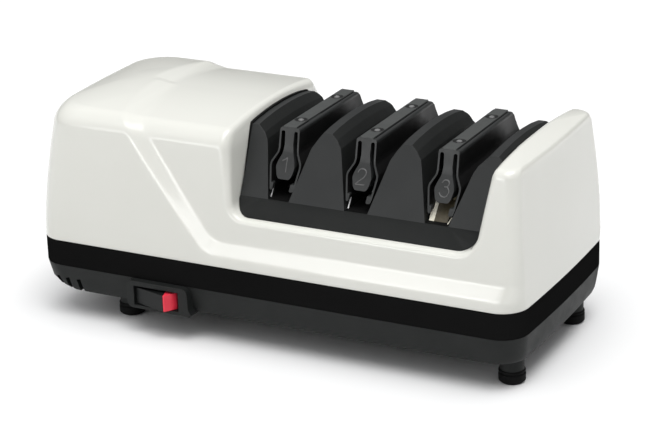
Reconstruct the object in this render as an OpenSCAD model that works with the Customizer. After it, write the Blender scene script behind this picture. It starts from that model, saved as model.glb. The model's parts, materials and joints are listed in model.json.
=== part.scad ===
// Electric knife sharpener with three stages.
// The origin is the centre of the footprint on the worktop. X runs along the body, -Y is the front.

/* [Body] */
// Length of the body
body_l = 250; // [248:1:252]
// Depth of the body without the switch
body_d = 109; // [108:0.5:110]
// Height over the left block
body_h = 107; // [106:0.5:108]
// Height of the joint between the white shell and the black band
belt_z = 39.4; // [39:0.1:40]
// Height of the black band
band_h = 12.7; // [12:0.1:13]
// Clearance between the worktop and the base
base_z = 14; // [13:0.5:14]
// Depth of the step between the raised block and the bay panel
panel_step = 2.2; // [1.8:0.1:2.4]
// Wall of the white shell under the bay panel
wall = 2.4; // [2.2:0.1:2.6]
// Corner radius of the body seen from above
corner_r = 12; // [11:0.5:13]
// Bulge of the two ends
end_crown = 1.6; // [1:0.1:2]

/* [Stages] */
// Place of the first knife guide along the body
stage_1_x = 1.2; // [1:0.1:1.4]
// Distance from one guide to the next
stage_pitch = 39.3; // [39:0.1:39.5]
// Angle of the knife rests from the vertical
rest_angle = 16.8; // [16.5:0.1:17]

/* [Drive] */
// Height of the drive shaft
shaft_z = 48; // [47.5:0.1:48.5]
// Diameter of the drive shaft
shaft_d = 8; // [8:0.1:8.2]
// Diameter of the abrasive disks
disk_d = 52; // [50:0.5:52]
// Travel of a disk along the shaft
disk_travel = 1.2; // [1:0.1:1.2]

/* [Hidden] */
$fn = 48;
eps = 0.01;
shaft_clear = 0.05;

// ---- Body surface -------------------------------------------------------
corner_steps = 6;
end_half_l = body_l / 2 - end_crown;
band_z = belt_z - band_h;
// Share of the shell's height at which its outline is drawn, closer together on the rolled top edge.
shell_levels = [0, 0.12, 0.28, 0.44, 0.6, 0.74, 0.85, 0.915, 0.95, 0.972, 0.986, 0.994, 0.998, 0.9995];
// How far the sides lean in, and how soon they roll over into the top.
lean_y = 6.2;
lean_left = 6.5;
lean_right = 4.3;
roll_left = 34;
roll_right = 20;
corner_growth = 4;

function lean(t) = pow(t, 1.6);
function roll(t) = 1 - pow(1 - pow(t, 12), 1 / 8);
function half_depth(t, inset) = body_d / 2 - inset - lean_y * lean(t) - (body_d / 2 - inset) * roll(t);
function half_left(t, inset) = end_half_l - inset - lean_left * lean(t) - roll_left * roll(t);
function half_right(t, inset) = end_half_l - inset - lean_right * lean(t) - roll_right * roll(t);

function arc(cx, cy, r, from, to, steps) =
    [for (i = [0:steps]) let (a = from + (to - from) * i / steps) [cx + r * cos(a), cy + r * sin(a)]];

// Rounded rectangle whose two ends bulge by the crown.
function outline(left, right, half_d, r) =
    let (
        x1 = right - r, x0 = r - left, y1 = half_d - r,
        straight = [-y1 / 2, 0, y1 / 2],
        loop = concat(
            arc(x1, -y1, r, -90, 0, corner_steps), [for (y = straight) [right, y]],
            arc(x1, y1, r, 0, 90, corner_steps), arc(x0, y1, r, 90, 180, corner_steps),
            [for (y = straight) [-left, -y]], arc(x0, -y1, r, 180, 270, corner_steps)
        )
    )
    [for (p = loop) [p[0] + sign(p[0]) * end_crown * (1 - pow(p[1] / half_d, 2)), p[1]]];

function shell_ring(t, z, inset, end_inset) =
    let (b = half_depth(t, inset))
    [for (p = outline(half_left(t, end_inset), half_right(t, end_inset), b,
        min(corner_r - inset / 2 + corner_growth * lean(t), 0.8 * b))) [p[0], p[1], z]];

// Skin through rings that have the same number of points, with flat caps on the first and the last.
module skin(rings) {
    n = len(rings[0]);
    last = len(rings) - 1;
    polyhedron(
        points = [for (ring = rings) each ring],
        faces = concat(
            [[for (i = [0:n - 1]) i]],
            [for (k = [0:last - 1], i = [0:n - 1]) let (j = (i + 1) % n) [k * n + i, (k + 1) * n + i, (k + 1) * n + j]],
            [for (k = [0:last - 1], i = [0:n - 1]) let (j = (i + 1) % n) [k * n + i, (k + 1) * n + j, k * n + j]],
            [[for (i = [0:n - 1]) last * n + n - 1 - i]]
        )
    );
}

// One skin of the white shell: its sides moved in by inset and its top lowered by drop.
module shell_skin(inset, end_inset, drop, bottom) {
    height = body_h - drop - belt_z;
    skin(concat(
        bottom < belt_z ? [shell_ring(0, bottom, inset, end_inset)] : [],
        [for (t = shell_levels) shell_ring(t, belt_z + t * height, inset, end_inset)]
    ));
}

// ---- Step between the raised block and the bay panel --------------------
panel_drop = 1.7;
step_slope = 1.3; // fall of the step's line for each unit of X
step_low_out = 44; // height of the step's two edges under the bay
step_low_in = 51.2;
step_x_out = -58.9; // where the two edges cross the height below
step_x_in = -49.3;
step_cross_z = 79;
step_far = 140;
step_top = 125;
step_side_y = 80;
step_back = 3.5; // how much further left the step runs on the back

function step_edge(cross_x, low, r) =
    let (
        angle = atan(step_slope),
        meet_x = cross_x + (step_cross_z - low) / step_slope,
        bend = arc(meet_x + r * tan(angle / 2), low + r, r, 270, 270 - angle, 6)
    )
    concat([[step_far, step_top], [step_far, low]], bend);
function step_out() = concat(step_edge(step_x_out, step_low_out, 15),
    [[-75.9, 101.1], [-78.6, 104.4], [-84, body_h], [-98.7, 111], [-98.7, step_top]]);
function step_in() = concat(step_edge(step_x_in, step_low_in, 10),
    [[-67.8, 102.6], [-70.3, 104.3], [-73, body_h - panel_drop], [-98.7, 109], [-98.7, step_top]]);
function depth_at(z, inset, drop) =
    half_depth(min(max((z - belt_z) / (body_h - drop - belt_z), 0), 0.9995), inset);
function step_ring(edge, side, inset, drop, out) =
    [for (p = edge) [p[0] - (side > 0 ? step_back : 0), side * (depth_at(p[1], inset, drop) + out), p[1]]];

// Everything above and to the right of the step.
module step_region() {
    skin([
        [for (p = step_out()) [p[0], -step_side_y, p[1]]],
        step_ring(step_out(), -1, 0, 0, 0.6),
        step_ring(step_in(), -1, panel_step, panel_drop, -0.4),
        step_ring(step_in(), 1, panel_step, panel_drop, -0.4),
        step_ring(step_out(), 1, 0, 0, 0.6),
        [for (p = step_out()) [p[0] - step_back, step_side_y, p[1]]]
    ]);
}

// ---- Bay for the knife guides ------------------------------------------
bay_left = -19;
bay_right = 103.2;
bay_floor = 64.3;
bay_flare = 10.8; // how far the right side leans out, in degrees
bay_flare_top = 93; // height above which it is upright
bay_clear = 0.25;

// Front view of the bay; grow makes it larger on every side.
function bay_outline(grow) =
    let (
        left = bay_left - grow, right = bay_right + grow, low = bay_floor - grow,
        r_left = 7.5 + grow, r_right = 11 + grow
    )
    concat(
        [[left, step_top]],
        arc(left + r_left, low + r_left, r_left, 180, 270, 6),
        arc(right - r_right, low + r_right, r_right, 270, 360 - bay_flare, 6),
        [for (z = [bay_flare_top, step_top]) [right - 0.2 + (bay_flare_top - low - 9) * tan(bay_flare), z]]
    );

// The same outline with a rounding for each point: widest on the left, small along the lower lip.
edge_left = 5;
edge_low = 2.2;
edge_right = 3;
edge_levels = [112, 106, 105, 103, 100, 96, 91, 85, 79];

// Each point has its place, the direction away from the bay and the radius of the rounding.
function bay_rim() =
    let (r_left = 7.5, r_right = 11, flare_x = bay_right - 0.2)
    concat(
        [for (z = edge_levels) [bay_left, z, -1, 0, edge_left]],
        [for (a = [180:15:270]) [bay_left + r_left + r_left * cos(a), bay_floor + r_left + r_left * sin(a),
            cos(a), sin(a), edge_low + (edge_left - edge_low) * pow(cos(a), 2)]],
        [for (k = [1:5]) [bay_left + r_left + k * (bay_right - bay_left - r_left - r_right) / 6, bay_floor, 0, -1, edge_low]],
        [for (a = [270, 283, 296, 309, 322, 335, 360 - bay_flare]) [bay_right - r_right + r_right * cos(a),
            bay_floor + r_right + r_right * sin(a), cos(a), sin(a), edge_low + (edge_right - edge_low) * pow(cos(a), 2)]],
        [for (z = [78, 83, 88, bay_flare_top]) [flare_x + (z - bay_floor - 9) * tan(bay_flare), z,
            cos(bay_flare), -sin(bay_flare), edge_right]],
        [for (z = [98, 102, 104.5, 106, 112]) [flare_x + (bay_flare_top - bay_floor - 9) * tan(bay_flare), z, 1, 0, edge_right]]
    );

// Ring of the rounding at an angle from the wall, or straight out in front of the body.
function rim_ring(side, angle, beyond) =
    [for (p = bay_rim()) let (
        r = p[4],
        grow = r * (1 - cos(angle)) + beyond * r * sin(angle),
        deep = r * (1 - sin(angle)) - beyond * r * cos(angle),
        x = p[0] + p[2] * grow,
        z = p[1] + p[3] * grow
    ) [x, side * (depth_at(z, panel_step, panel_drop) - deep), z]];
// The same ring far out, bowed a little so that no three points are in line.
function rim_far(side) = [for (p = rim_ring(side, 72, 0.5)) [
    p[0] + (p[0] < 42 ? -0.5 : 0.5) * (1 - pow((p[2] - 90) / 30, 2)), side * 80,
    p[2] + 0.5 * (pow((p[0] - 42) / 75, 2) - 1)
]];

// The bay, with rounded edges where it meets the front and the back.
module bay_cut() {
    front = [for (a = [0, 20, 38, 55, 72]) rim_ring(-1, a, a == 72 ? 0.5 : 0)];
    back = [for (a = [0, 20, 38, 55, 72]) rim_ring(1, a, a == 72 ? 0.5 : 0)];
    skin(concat([rim_far(1)], [for (i = [4:-1:0]) back[i]], front, [rim_far(-1)]));
}

module along_y(y0, y1) {
    translate([0, y1, 0]) rotate([90, 0, 0]) linear_extrude(y1 - y0) children();
}

module along_x(x0, x1) {
    translate([x0, 0, 0]) rotate([90, 0, 90]) linear_extrude(x1 - x0) children();
}

module on_shaft(x) {
    translate([x, 0, shaft_z]) rotate([0, 90, 0]) children();
}

module box(low, high) {
    translate(low) cube(high - low);
}

// ---- Screws, legs and openings -----------------------------------------
leg_x = [-84, 113.5];
leg_y = 36.15;
leg_d = 11.2;
foot_d = 12.4;
foot_h = 6.2;
spigot_d = 7;
screw_places = [[-110, -36], [-110, 36], [113, -24], [113, 24]];
screw_seat_z = 30;
lower_boss_top = belt_z + 2.4;
screw_top = 60;
stage_x = [for (i = [0:2]) stage_1_x + i * stage_pitch];
lever_x = stage_x[2];
lever_z = 47;
shell_inset = panel_step + wall;
lever_back = body_d / 2 - shell_inset - 0.6;

module upper_housing() color("whitesmoke") {
    difference() {
        union() {
            difference() {
                shell_skin(0, 0, 0, belt_z);
                difference() {
                    step_region();
                    shell_skin(panel_step, 0, panel_drop, belt_z);
                }
                difference() {
                    shell_skin(shell_inset, wall + 1, panel_drop + wall, belt_z - 1);
                    // The bay's two side walls stay.
                    difference() {
                        along_y(-60, 60) polygon(bay_outline(wall));
                        box([bay_left + 6, -70, 0], [bay_right - 8, 70, step_top]);
                        box([bay_left - 10, -70, 0], [bay_right + 20, 70, 60]);
                    }
                }
            }
            // Screw bosses.
            for (p = screw_places) translate([p[0], p[1], lower_boss_top + 0.2]) cylinder(d = 9, h = 56);
            // Rails of the dressing lever.
            for (s = [-1, 1]) translate([lever_x, 0, lever_z]) scale([1, 1, s]) {
                box([-16, lever_back - 3.9, 3.4], [16, lever_back + 1.4, 5.4]);
                box([-16, lever_back - 3.9, 2.7], [16, lever_back - 2.6, 3.5]);
            }
        }
        bay_cut();
        for (p = screw_places) translate([p[0], p[1], lower_boss_top]) cylinder(d = 3.1, h = 22);
        box([lever_x - 6.5, 45, lever_z - 2.4], [lever_x + 6.5, 60, lever_z + 2.4]);
    }
}

// ---- Band ---------------------------------------------------------------
band_t = 1.8;
lip_inset = 2;

module plan(inset) {
    polygon(outline(end_half_l - inset, end_half_l - inset, body_d / 2 - inset, corner_r - inset));
}

module trim_band() color([0.02, 0.02, 0.02]) {
    translate([0, 0, band_z]) linear_extrude(band_h) difference() {
        plan(0);
        plan(band_t);
    }
}

// ---- Base ---------------------------------------------------------------
base_floor = 2.5;
base_wall = 4.4;
boss_x = [-72.8, -40.2];
boss_z = [13, 26.6];
boss_front = -57.7;
boss_flare = 1.8; // how much further right the boss reaches at its lower edge
window_x = [-69, -45];
window_z = [14.5, 24.2];
window_back = -46.5;
port_x = [34, 58];
port_y = 12;
grommet_x = -96;
grommet_z = 21.9;
// Sections of the rolled underside: height, how much shorter on the left and right, how much narrower.
base_sections = [[base_z, 9, 2.2, 2.6], [base_z + 1.8, 4.6, 1.4, 1.9], [base_z + 5, 1.6, 0.9, 1.2], [band_z, 0, 0, 0]];

function base_ring(s) =
    [for (p = outline(end_half_l - s[1], end_half_l - s[2], body_d / 2 - s[3], corner_r)) [p[0], p[1], s[0]]];

// Upper end of each vent slot along X, and its slant.
vents = [[-114.3, 23], [-108.6, 11], [-102.4, 11]];
vent_top = 20.2;

module vent(v) {
    translate([v[0], -body_d / 2, vent_top]) rotate([0, -v[1], 0]) box([-1.1, -4, -9], [1.1, 9, 0]);
}

// Front view of the switch boss.
module boss_front_view() {
    polygon(concat(
        arc(boss_x[1] - 3, boss_z[1] - 3, 3, 0, 90, 4), arc(boss_x[0] + 3, boss_z[1] - 3, 3, 90, 180, 4),
        arc(boss_x[0] + 3, boss_z[0] + 3, 3, 180, 270, 4),
        arc(boss_x[1] + boss_flare - 0.8, boss_z[0] + 0.8, 0.8, 270, 360, 3), [[boss_x[1] + 0.3, boss_z[0] + 3.5]]
    ));
}

module lower_housing() color([0.17, 0.18, 0.18]) {
    difference() {
        union() {
            difference() {
                union() {
                    skin([for (s = base_sections) base_ring(s)]);
                    translate([0, 0, band_z - eps]) linear_extrude(band_h - 0.1) plan(lip_inset);
                }
                translate([0, 0, base_z + base_floor]) linear_extrude(40) plan(base_wall + 2.4);
                translate([0, 0, band_z - 3]) linear_extrude(40) plan(base_wall);
                for (v = vents) vent(v);
            }
            // Switch boss on the front.
            along_y(boss_front, -50) boss_front_view();
            for (p = screw_places) translate([p[0], p[1], base_z]) cylinder(d = 10.5, h = lower_boss_top - base_z);
            for (x = leg_x, y = [-leg_y, leg_y]) translate([x, y, foot_h]) cylinder(d = leg_d, h = base_z + 2 - foot_h);
            for (x = leg_x, y = [-leg_y, leg_y]) translate([x, y, 3]) cylinder(d = spigot_d, h = 6);
            // Saddle under the motor.
            for (x = [-88, -64]) box([x, -30, base_z + 1], [x + 4, 30, stack_z0]);
            // Rails of the clean-out cover.
            for (s = [-1, 1]) scale([1, s, 1]) {
                box([port_x[0] - 4, cover_y + 0.3, base_z - 3.4], [port_x[1] + 14, cover_y + 2.3, base_z + 0.5]);
                box([port_x[0] - 4, cover_y - 1.7, base_z - 3.4], [port_x[1] + 14, cover_y + 0.5, base_z - 2.3]);
            }
            // Socket of the cord grommet.
            translate([grommet_x, body_d / 2 - 8, grommet_z]) rotate([-90, 0, 0]) cylinder(d = 13.5, h = 6);
        }
        along_y(-70, window_back) translate([window_x[0], window_z[0]])
            square([window_x[1] - window_x[0], window_z[1] - window_z[0]]);
        for (p = screw_places) translate([p[0], p[1], base_z - 1]) {
            cylinder(d = 7.6, h = screw_seat_z - base_z + 1);
            cylinder(d = 4.2, h = 40);
        }
        box([port_x[0], -port_y, base_z - 1], [port_x[1], port_y, base_z + base_floor + 1]);
        translate([grommet_x, body_d / 2 - 10, grommet_z]) rotate([-90, 0, 0]) cylinder(d = 9.5, h = 20);
    }
}

module rubber_feet() color([0.07, 0.07, 0.07]) {
    for (x = leg_x, y = [-leg_y, leg_y]) translate([x, y, 0]) rotate_extrude() polygon([
        [0, 0], [foot_d / 2 - 1, 0], [foot_d / 2, 1], [foot_d / 2, 4.2], [foot_d / 2 - 0.5, 4.5],
        [foot_d / 2 - 0.5, 5], [foot_d / 2, 5.3], [foot_d / 2 - 0.2, foot_h], [spigot_d / 2 + 0.05, foot_h],
        [spigot_d / 2 + 0.05, 2.8], [0, 2.8]
    ]);
}

cover_y = 15;
cover_t = 1.7;

module clean_out_cover() color([0.13, 0.14, 0.14]) {
    z1 = base_z - 0.25;
    difference() {
        union() {
            box([port_x[0] - 3, -cover_y, z1 - cover_t], [port_x[1] + 3, cover_y, z1]);
            box([port_x[1] - 1, -8, z1 - cover_t - 1.6], [port_x[1] + 1, 8, z1 - cover_t + eps]);
        }
        for (x = [40, 43.5, 47]) box([x, -7, z1 - cover_t - 1], [x + 1.4, 7, z1 - cover_t + 0.5]);
    }
}

module filings_magnet() color([0.3, 0.3, 0.32]) {
    x = (stage_x[0] + stage_x[1]) / 2;
    box([x - 6, -11, base_z + base_floor], [x + 6, 11, base_z + base_floor + 5]);
}

module housing_screws() color("silver") {
    for (p = screw_places) translate([p[0], p[1], 0]) {
        translate([0, 0, screw_seat_z - 3]) cylinder(d = 6.9, h = 3);
        translate([0, 0, screw_seat_z - 1]) cylinder(d = 3, h = screw_top - screw_seat_z + 1);
    }
}

grommet_out = 60.5;

module cord_grommet() color([0.06, 0.06, 0.06]) {
    translate([grommet_x, 0, grommet_z]) rotate([-90, 0, 0]) difference() {
        union() {
            translate([0, 0, body_d / 2 - 9.5]) cylinder(d = 9.4, h = grommet_out - body_d / 2 + 9.5);
            translate([0, 0, body_d / 2 + 0.2]) cylinder(d = 12.6, h = 1.6);
            translate([0, 0, body_d / 2 - 10.2]) cylinder(d = 10.6, h = 2);
        }
        cylinder(d = 7.4, h = 70);
    }
}

// ---- Tray with the knife rests ------------------------------------------
rest_low_z = 70.9;
rest_high_z = 93.2;
rest_low_w = 14.2; // half width of a rest at its foot
rest_high_w = rest_low_w - (rest_high_z - rest_low_z) * tan(rest_angle);
ridge_w = 1.4;
ridge_z = 102;
// Half width and height of a rest from its straight face to the ridge, round the shoulder.
rest_half = [[rest_low_w, rest_low_z], [rest_high_w, rest_high_z], [6.5, 94.9], [5.1, 96.7], [3.4, 98.6], [1.8, 99.9],
    [ridge_w, ridge_z]];
tray_low = 62;
rests = [for (i = [0:3]) stage_x[0] + (i - 0.5) * stage_pitch];
disk_room = 1.3;

// Front view of the tray: two whole rests between two half ones.
function tray_front() = concat(
    [[bay_left - 20, tray_low], [bay_left - 20, ridge_z]],
    [for (x = rests) each concat(
        [for (p = rest_half) [x - p[0], p[1]]],
        [for (i = [len(rest_half) - 1:-1:0]) [x + rest_half[i][0], rest_half[i][1]]]
    )],
    [[bay_right + 20, ridge_z], [bay_right + 20, tray_low]]
);
// Side view of the tray: sloped fascia, leaning front of the rests and arched ridge.
tray_side_half = [[48.4, tray_low], [48.4, 63.6], [41.3, rest_low_z], [25.5, 99.2], [24.6, 100.1], [18.5, 101.1],
    [9, 101.8], [3, 102]];
tray_back = 3.5; // how much further the ridge runs to the back
function mirrored(half) = concat(half, [for (i = [len(half) - 1:-1:0]) [-half[i][0], half[i][1]]]);
// Side view whose upper part runs further to the back.
function side_view(half, from, more) = concat(
    [for (p = half) [p[0] + (p[1] > from ? more : 0), p[1]]],
    [for (i = [len(half) - 1:-1:0]) [-half[i][0], half[i][1]]]
);

module slot_tray() color([0.16, 0.17, 0.17]) {
    difference() {
        intersection() {
            along_y(-60, 60) polygon(tray_front());
            along_x(bay_left - 20, bay_right + 20) polygon(side_view(tray_side_half, 90, tray_back));
            along_y(-60, 60) polygon(bay_outline(-bay_clear));
        }
        // Room for the disks, and a hollow underside.
        for (i = [0, 1], s = [-1, 1]) on_shaft(stage_x[i] + s * 5.6) cylinder(r = disk_d / 2 + disk_room, h = 6.4, center = true);
        on_shaft(stage_x[2]) cylinder(r = disk_d / 2 + disk_room, h = 17.6, center = true);
        box([rests[0] + 6, -36, tray_low - 1], [rests[3] - 6, 36, 66]);
        for (x = [rests[1], rests[2]]) along_y(-24, 24)
            polygon([[x - 9, 65], [x - 3.6, 92], [x + 3.6, 92], [x + 9, 65]]);
    }
}

// ---- Knife guides --------------------------------------------------------
cap_top = 102.6;
cap_low = 99.4;
bulb_w = 4.85;
leaf_hinge = [4.4, 101];
// Side view of a guide's end, which leans back like the rests.
guide_side_half = [[41.6, 72], [38.6, 75.2], [33.9, 86], [30.7, 91], [28.6, 100], [28.3, cap_top + 1]];
core_half = [
    [2.2, 79.3], [3.9, 80.4], [bulb_w, 83.4], [bulb_w - 0.1, 85.6], [2.5, 90.4], [2.2, 93.4], [2.2, 97.6],
    [2.45, 98.7], [3, cap_low]
];
leaf_bead = 0.75; // radius of the rounded upper edge that the leaf turns on
leaf_outer = [[6.6, 75.3], [7.5, 81.5], [7.8, 86], [5.25, 91.2], [5.1, 101]];
leaf_inner = [[3.7, 101], [3.7, 99.2], [3.95, 97.6], [4.05, 91.6], [6.65, 86.2], [6.4, 81.6], [5.5, 75.3]];

core_back = 2; // how much further the guides run to the back, and their leaves
leaf_back = 4.5;

module guide_ends(g, more = core_back) {
    intersection() {
        children();
        along_x(g - 20, g + 20) polygon(side_view(guide_side_half, 80, more));
    }
}

module cap_screw_places(g) {
    for (y = [-17.4, 19]) translate([g, y, 0]) children();
}

module guide_core(i) color([0.2, 0.21, 0.21]) {
    g = stage_x[i];
    difference() {
        union() {
            guide_ends(g) translate([g, 0, 0]) along_y(-60, 60) polygon(mirrored(core_half));
            // Two posts that stand on the tray, one at each side of the disks.
            for (s = [-1, 1]) scale([1, s, 1]) box([g - 1.4, 16, rest_low_z], [g + 1.4, 25, 80]);
        }
        cap_screw_places(g) translate([0, 0, cap_low - 9]) cylinder(d = 2.3, h = 10);
    }
}

module guide_cap(i) color([0.3, 0.31, 0.31]) {
    g = stage_x[i];
    difference() {
        guide_ends(g) union() {
            box([g - 3.35, -40, cap_low], [g + 3.35, 40, 101.9]);
            box([g - 2.9, -40, 101.8], [g + 2.9, 40, cap_top]);
        }
        cap_screw_places(g) {
            translate([0, 0, cap_top - 1.3]) cylinder(d = 4.6, h = 3);
            translate([0, 0, cap_low - 1]) cylinder(d = 2.7, h = 5);
        }
    }
}

module cap_screws() color([0.08, 0.08, 0.08]) {
    for (g = stage_x) cap_screw_places(g) {
        translate([0, 0, cap_top - 1.3]) cylinder(d = 4.3, h = 0.9);
        translate([0, 0, cap_low - 8]) cylinder(d = 2.2, h = 10);
    }
}

module guide_leaf(i, side) color([0.22, 0.23, 0.23]) {
    g = stage_x[i];
    guide_ends(g, leaf_back) translate([g, 0, 0]) mirror([side < 0 ? 1 : 0, 0, 0]) along_y(-60, 60) {
        polygon(concat(leaf_outer, leaf_inner));
        translate(leaf_hinge) circle(r = leaf_bead);
    }
}

// ---- Power switch ---------------------------------------------------------
rocker_pivot = [-58, -47.5];
rocker_z = [14.9, 23];
neck_z = [18.4, 21.4];
rocker_left = [-68.8, -56.2];
rocker_ridge = [-51, -60.8];
rocker_right = [-47.2, -55.2];
pivot_r = 1.2;
switch_low = 16.7; // underside of the switch, on the floor of the base

module rocker_plan() {
    polygon([rocker_left, rocker_ridge, rocker_right, [-47.2, -52.2], [-68.8, -52.2]]);
}

// Wedge behind the right face of the rocker.
module red_plan() {
    polygon([rocker_ridge + [0.25, 0.37], rocker_right, [-47.2, -53.6], [-55.5, -53.6], [-57.3, -55.8]]);
}

module switch_rocker() color([0.12, 0.13, 0.13]) {
    difference() {
        union() {
            translate([0, 0, rocker_z[0]]) linear_extrude(rocker_z[1] - rocker_z[0]) rocker_plan();
            translate([0, 0, neck_z[0]]) linear_extrude(neck_z[1] - neck_z[0])
                polygon([[-66, -52.3], [-50, -52.3], [-54.5, -45], [-61.5, -45]]);
            translate([rocker_pivot[0], rocker_pivot[1], switch_low + 0.3])
                cylinder(r = pivot_r, h = window_z[1] - switch_low - 0.6);
        }
        translate([0, 0, rocker_z[0] - 1]) linear_extrude(rocker_z[1] - rocker_z[0] + 2) red_plan();
    }
}

module rocker_red_face() color([0.9, 0.16, 0.24]) {
    translate([0, 0, rocker_z[0]]) linear_extrude(rocker_z[1] - rocker_z[0]) red_plan();
}

module switch_body() color([0.05, 0.05, 0.05]) {
    difference() {
        union() {
            box([-68.8, -46, switch_low], [-45.2, -34, window_z[1] - 0.1]);
            for (z = [[switch_low, neck_z[0] - 0.15], [neck_z[1] + 0.15, window_z[1] - 0.1]])
                box([-62, -50, z[0]], [-54, -45.9, z[1]]);
            for (x = [-66, -58, -50]) box([x - 0.4, -34.1, 17.4], [x + 0.4, -31.4, 22]);
        }
        translate([0, 0, neck_z[0] - 0.15]) linear_extrude(neck_z[1] - neck_z[0] + 0.3)
            polygon([[-66, -50], [-50, -50], [-50, -45], [-53, -42], [-63, -42], [-66, -45]]);
        translate([rocker_pivot[0], rocker_pivot[1], switch_low - 1]) cylinder(r = pivot_r + shaft_clear, h = 10);
    }
}

// ---- Motor ----------------------------------------------------------------
stack_x = [-92, -56];
stack_z0 = 20;
stack_z1 = 92;
stack_y = 30;
bore_r = 18.4;
rotor_r = 18;
coil_bar_z = 82;
motor_screw_y = 26;
hub_d = 18;
bush_d = 12;
bush_places = [[-106, 7.5], [-49.5, 7.5], [106, 6]];

// A loop of copper round each of the four pole tips.
module at_poles() {
    for (a = [38, 142, 218, 322]) translate([0, 0, shaft_z]) rotate([a, 0, 0]) children();
}

module motor_laminations() color([0.45, 0.46, 0.48]) {
    difference() {
        along_x(stack_x[0], stack_x[1]) difference() {
            translate([-stack_y, stack_z0]) square([2 * stack_y, stack_z1 - stack_z0]);
            translate([0, shaft_z]) circle(r = bore_r);
            translate([-20, 70]) square([40, coil_bar_z - 70]);
            for (s = [-1, 1]) translate([s * motor_screw_y, shaft_z]) circle(r = 2.2);
        }
        at_poles() for (s = [-1, 1]) translate([0, s * 5, 0])
            box([stack_x[0] - 1, -1.15, 19.9], [stack_x[1] + 1, 1.15, 22.3]);
    }
}

module shading_rings() color([0.72, 0.42, 0.25]) {
    at_poles() difference() {
        box([stack_x[0] - 1.8, -6, 20.1], [stack_x[1] + 1.8, 6, 22.1]);
        box([stack_x[0] - 0.1, -4, 19], [stack_x[1] + 0.1, 4, 23]);
    }
}

module coil_bobbin() color([0.85, 0.83, 0.76]) {
    difference() {
        union() {
            box([stack_x[0] - 2, -15.5, coil_bar_z - 2], [stack_x[1] + 2, 15.5, stack_z1 + 2]);
            for (y = [-17, 15]) box([stack_x[0] - 9, y, coil_bar_z - 10.5], [stack_x[1] + 9, y + 2, stack_z1 + 8]);
        }
        box([stack_x[0] - 0.2, -20, coil_bar_z - 0.2], [stack_x[1] + 0.2, 20, stack_z1 + 0.2]);
    }
}

module coil_winding() color([0.75, 0.38, 0.16]) {
    difference() {
        box([stack_x[0] - 8, -14.9, coil_bar_z - 9.5], [stack_x[1] + 8, 14.9, stack_z1 + 7.2]);
        box([stack_x[0] - 2.1, -20, coil_bar_z - 2.1], [stack_x[1] + 2.1, 20, stack_z1 + 2.1]);
    }
}

module motor_bracket(side) color([0.62, 0.63, 0.65]) {
    face = side < 0 ? stack_x[0] : stack_x[1];
    bar = face + side * 8;
    hub = side < 0 ? bush_places[0] : bush_places[1];
    difference() {
        union() {
            box([min(bar, bar + side * 3), -33, shaft_z - 9], [max(bar, bar + side * 3), 33, shaft_z + 9]);
            on_shaft(hub[0]) cylinder(d = hub_d, h = hub[1]);
            for (y = [-motor_screw_y, motor_screw_y]) translate([0, y, 0])
                on_shaft(min(face, bar)) cylinder(d = 10, h = 8);
        }
        on_shaft(hub[0] - 1) cylinder(d = bush_d + 0.04, h = hub[1] + 2);
        for (y = [-motor_screw_y, motor_screw_y]) translate([0, y, 0]) on_shaft(face - 20) cylinder(d = 4.3, h = 40);
    }
}

module motor_screws() color("silver") {
    for (y = [-motor_screw_y, motor_screw_y]) translate([0, y, 0]) {
        on_shaft(stack_x[0] - 14.5) cylinder(d = 7, h = 3.5);
        on_shaft(stack_x[0] - 12) cylinder(d = 4, h = stack_x[1] - stack_x[0] + 28);
        on_shaft(stack_x[1] + 11) cylinder(d = 7.5, h = 3, $fn = 6);
    }
}

module shaft_bushes() color([0.72, 0.55, 0.3]) {
    for (b = bush_places) on_shaft(b[0]) difference() {
        cylinder(d = bush_d, h = b[1]);
        translate([0, 0, -1]) cylinder(d = shaft_d + 2 * shaft_clear, h = b[1] + 2);
    }
}

module end_bearing_block() color([0.15, 0.16, 0.16]) {
    difference() {
        union() {
            box([106, -14, base_z + base_floor], [112, 14, shaft_z]);
            on_shaft(106) cylinder(r = 11, h = 6);
            box([103, -17, base_z + base_floor], [115, 17, base_z + base_floor + 3]);
        }
        on_shaft(105) cylinder(d = bush_d + 0.04, h = 8);
        for (y = [-8, 8]) box([105, y - 3, 23], [113, y + 3, 34]);
    }
}

// ---- Turning parts ----------------------------------------------------------
shaft_x = [-108, 113];
pin_d = 2;
pin_l = 16;
pin_at = 8.2; // from the middle of a stage to its drive pins
hub_face = 9.2;
hub_r = 9;
spring_end = [4.3, 4.3, 3.1];

module drive_shaft() color("silver") {
    difference() {
        on_shaft(shaft_x[0]) cylinder(d = shaft_d, h = shaft_x[1] - shaft_x[0]);
        for (g = stage_x, s = [-1, 1]) translate([g + s * pin_at, 0, shaft_z - 6]) cylinder(d = pin_d + 0.04, h = 12);
    }
}

module drive_pins() color("gray") {
    for (g = stage_x, s = [-1, 1]) translate([g + s * pin_at, 0, shaft_z - pin_l / 2]) cylinder(d = pin_d, h = pin_l);
}

module rotor_core() color([0.5, 0.51, 0.53]) {
    on_shaft(stack_x[0]) difference() {
        cylinder(r = rotor_r, h = stack_x[1] - stack_x[0]);
        translate([0, 0, -1]) cylinder(d = shaft_d + 0.02, h = 60);
    }
}

module rotor_end_rings() color([0.75, 0.76, 0.78]) {
    for (x = [stack_x[0] - 5, stack_x[1]]) on_shaft(x) difference() {
        cylinder(r = 16.5, h = 5);
        translate([0, 0, -1]) cylinder(r = 10.5, h = 7);
    }
}

fan_x = -40;
fan_blades = 9;

module cooling_fan() color([0.1, 0.1, 0.1]) {
    on_shaft(fan_x) difference() {
        union() {
            cylinder(r = 8, h = 11);
            cylinder(r = 27, h = 1.4);
            for (i = [0:fan_blades - 1]) rotate(i * 360 / fan_blades) rotate(18)
                box([7, -0.7, 1.3], [26, 0.7, 10]);
        }
        translate([0, 0, -1]) cylinder(d = shaft_d + 0.02, h = 14);
    }
}

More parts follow.
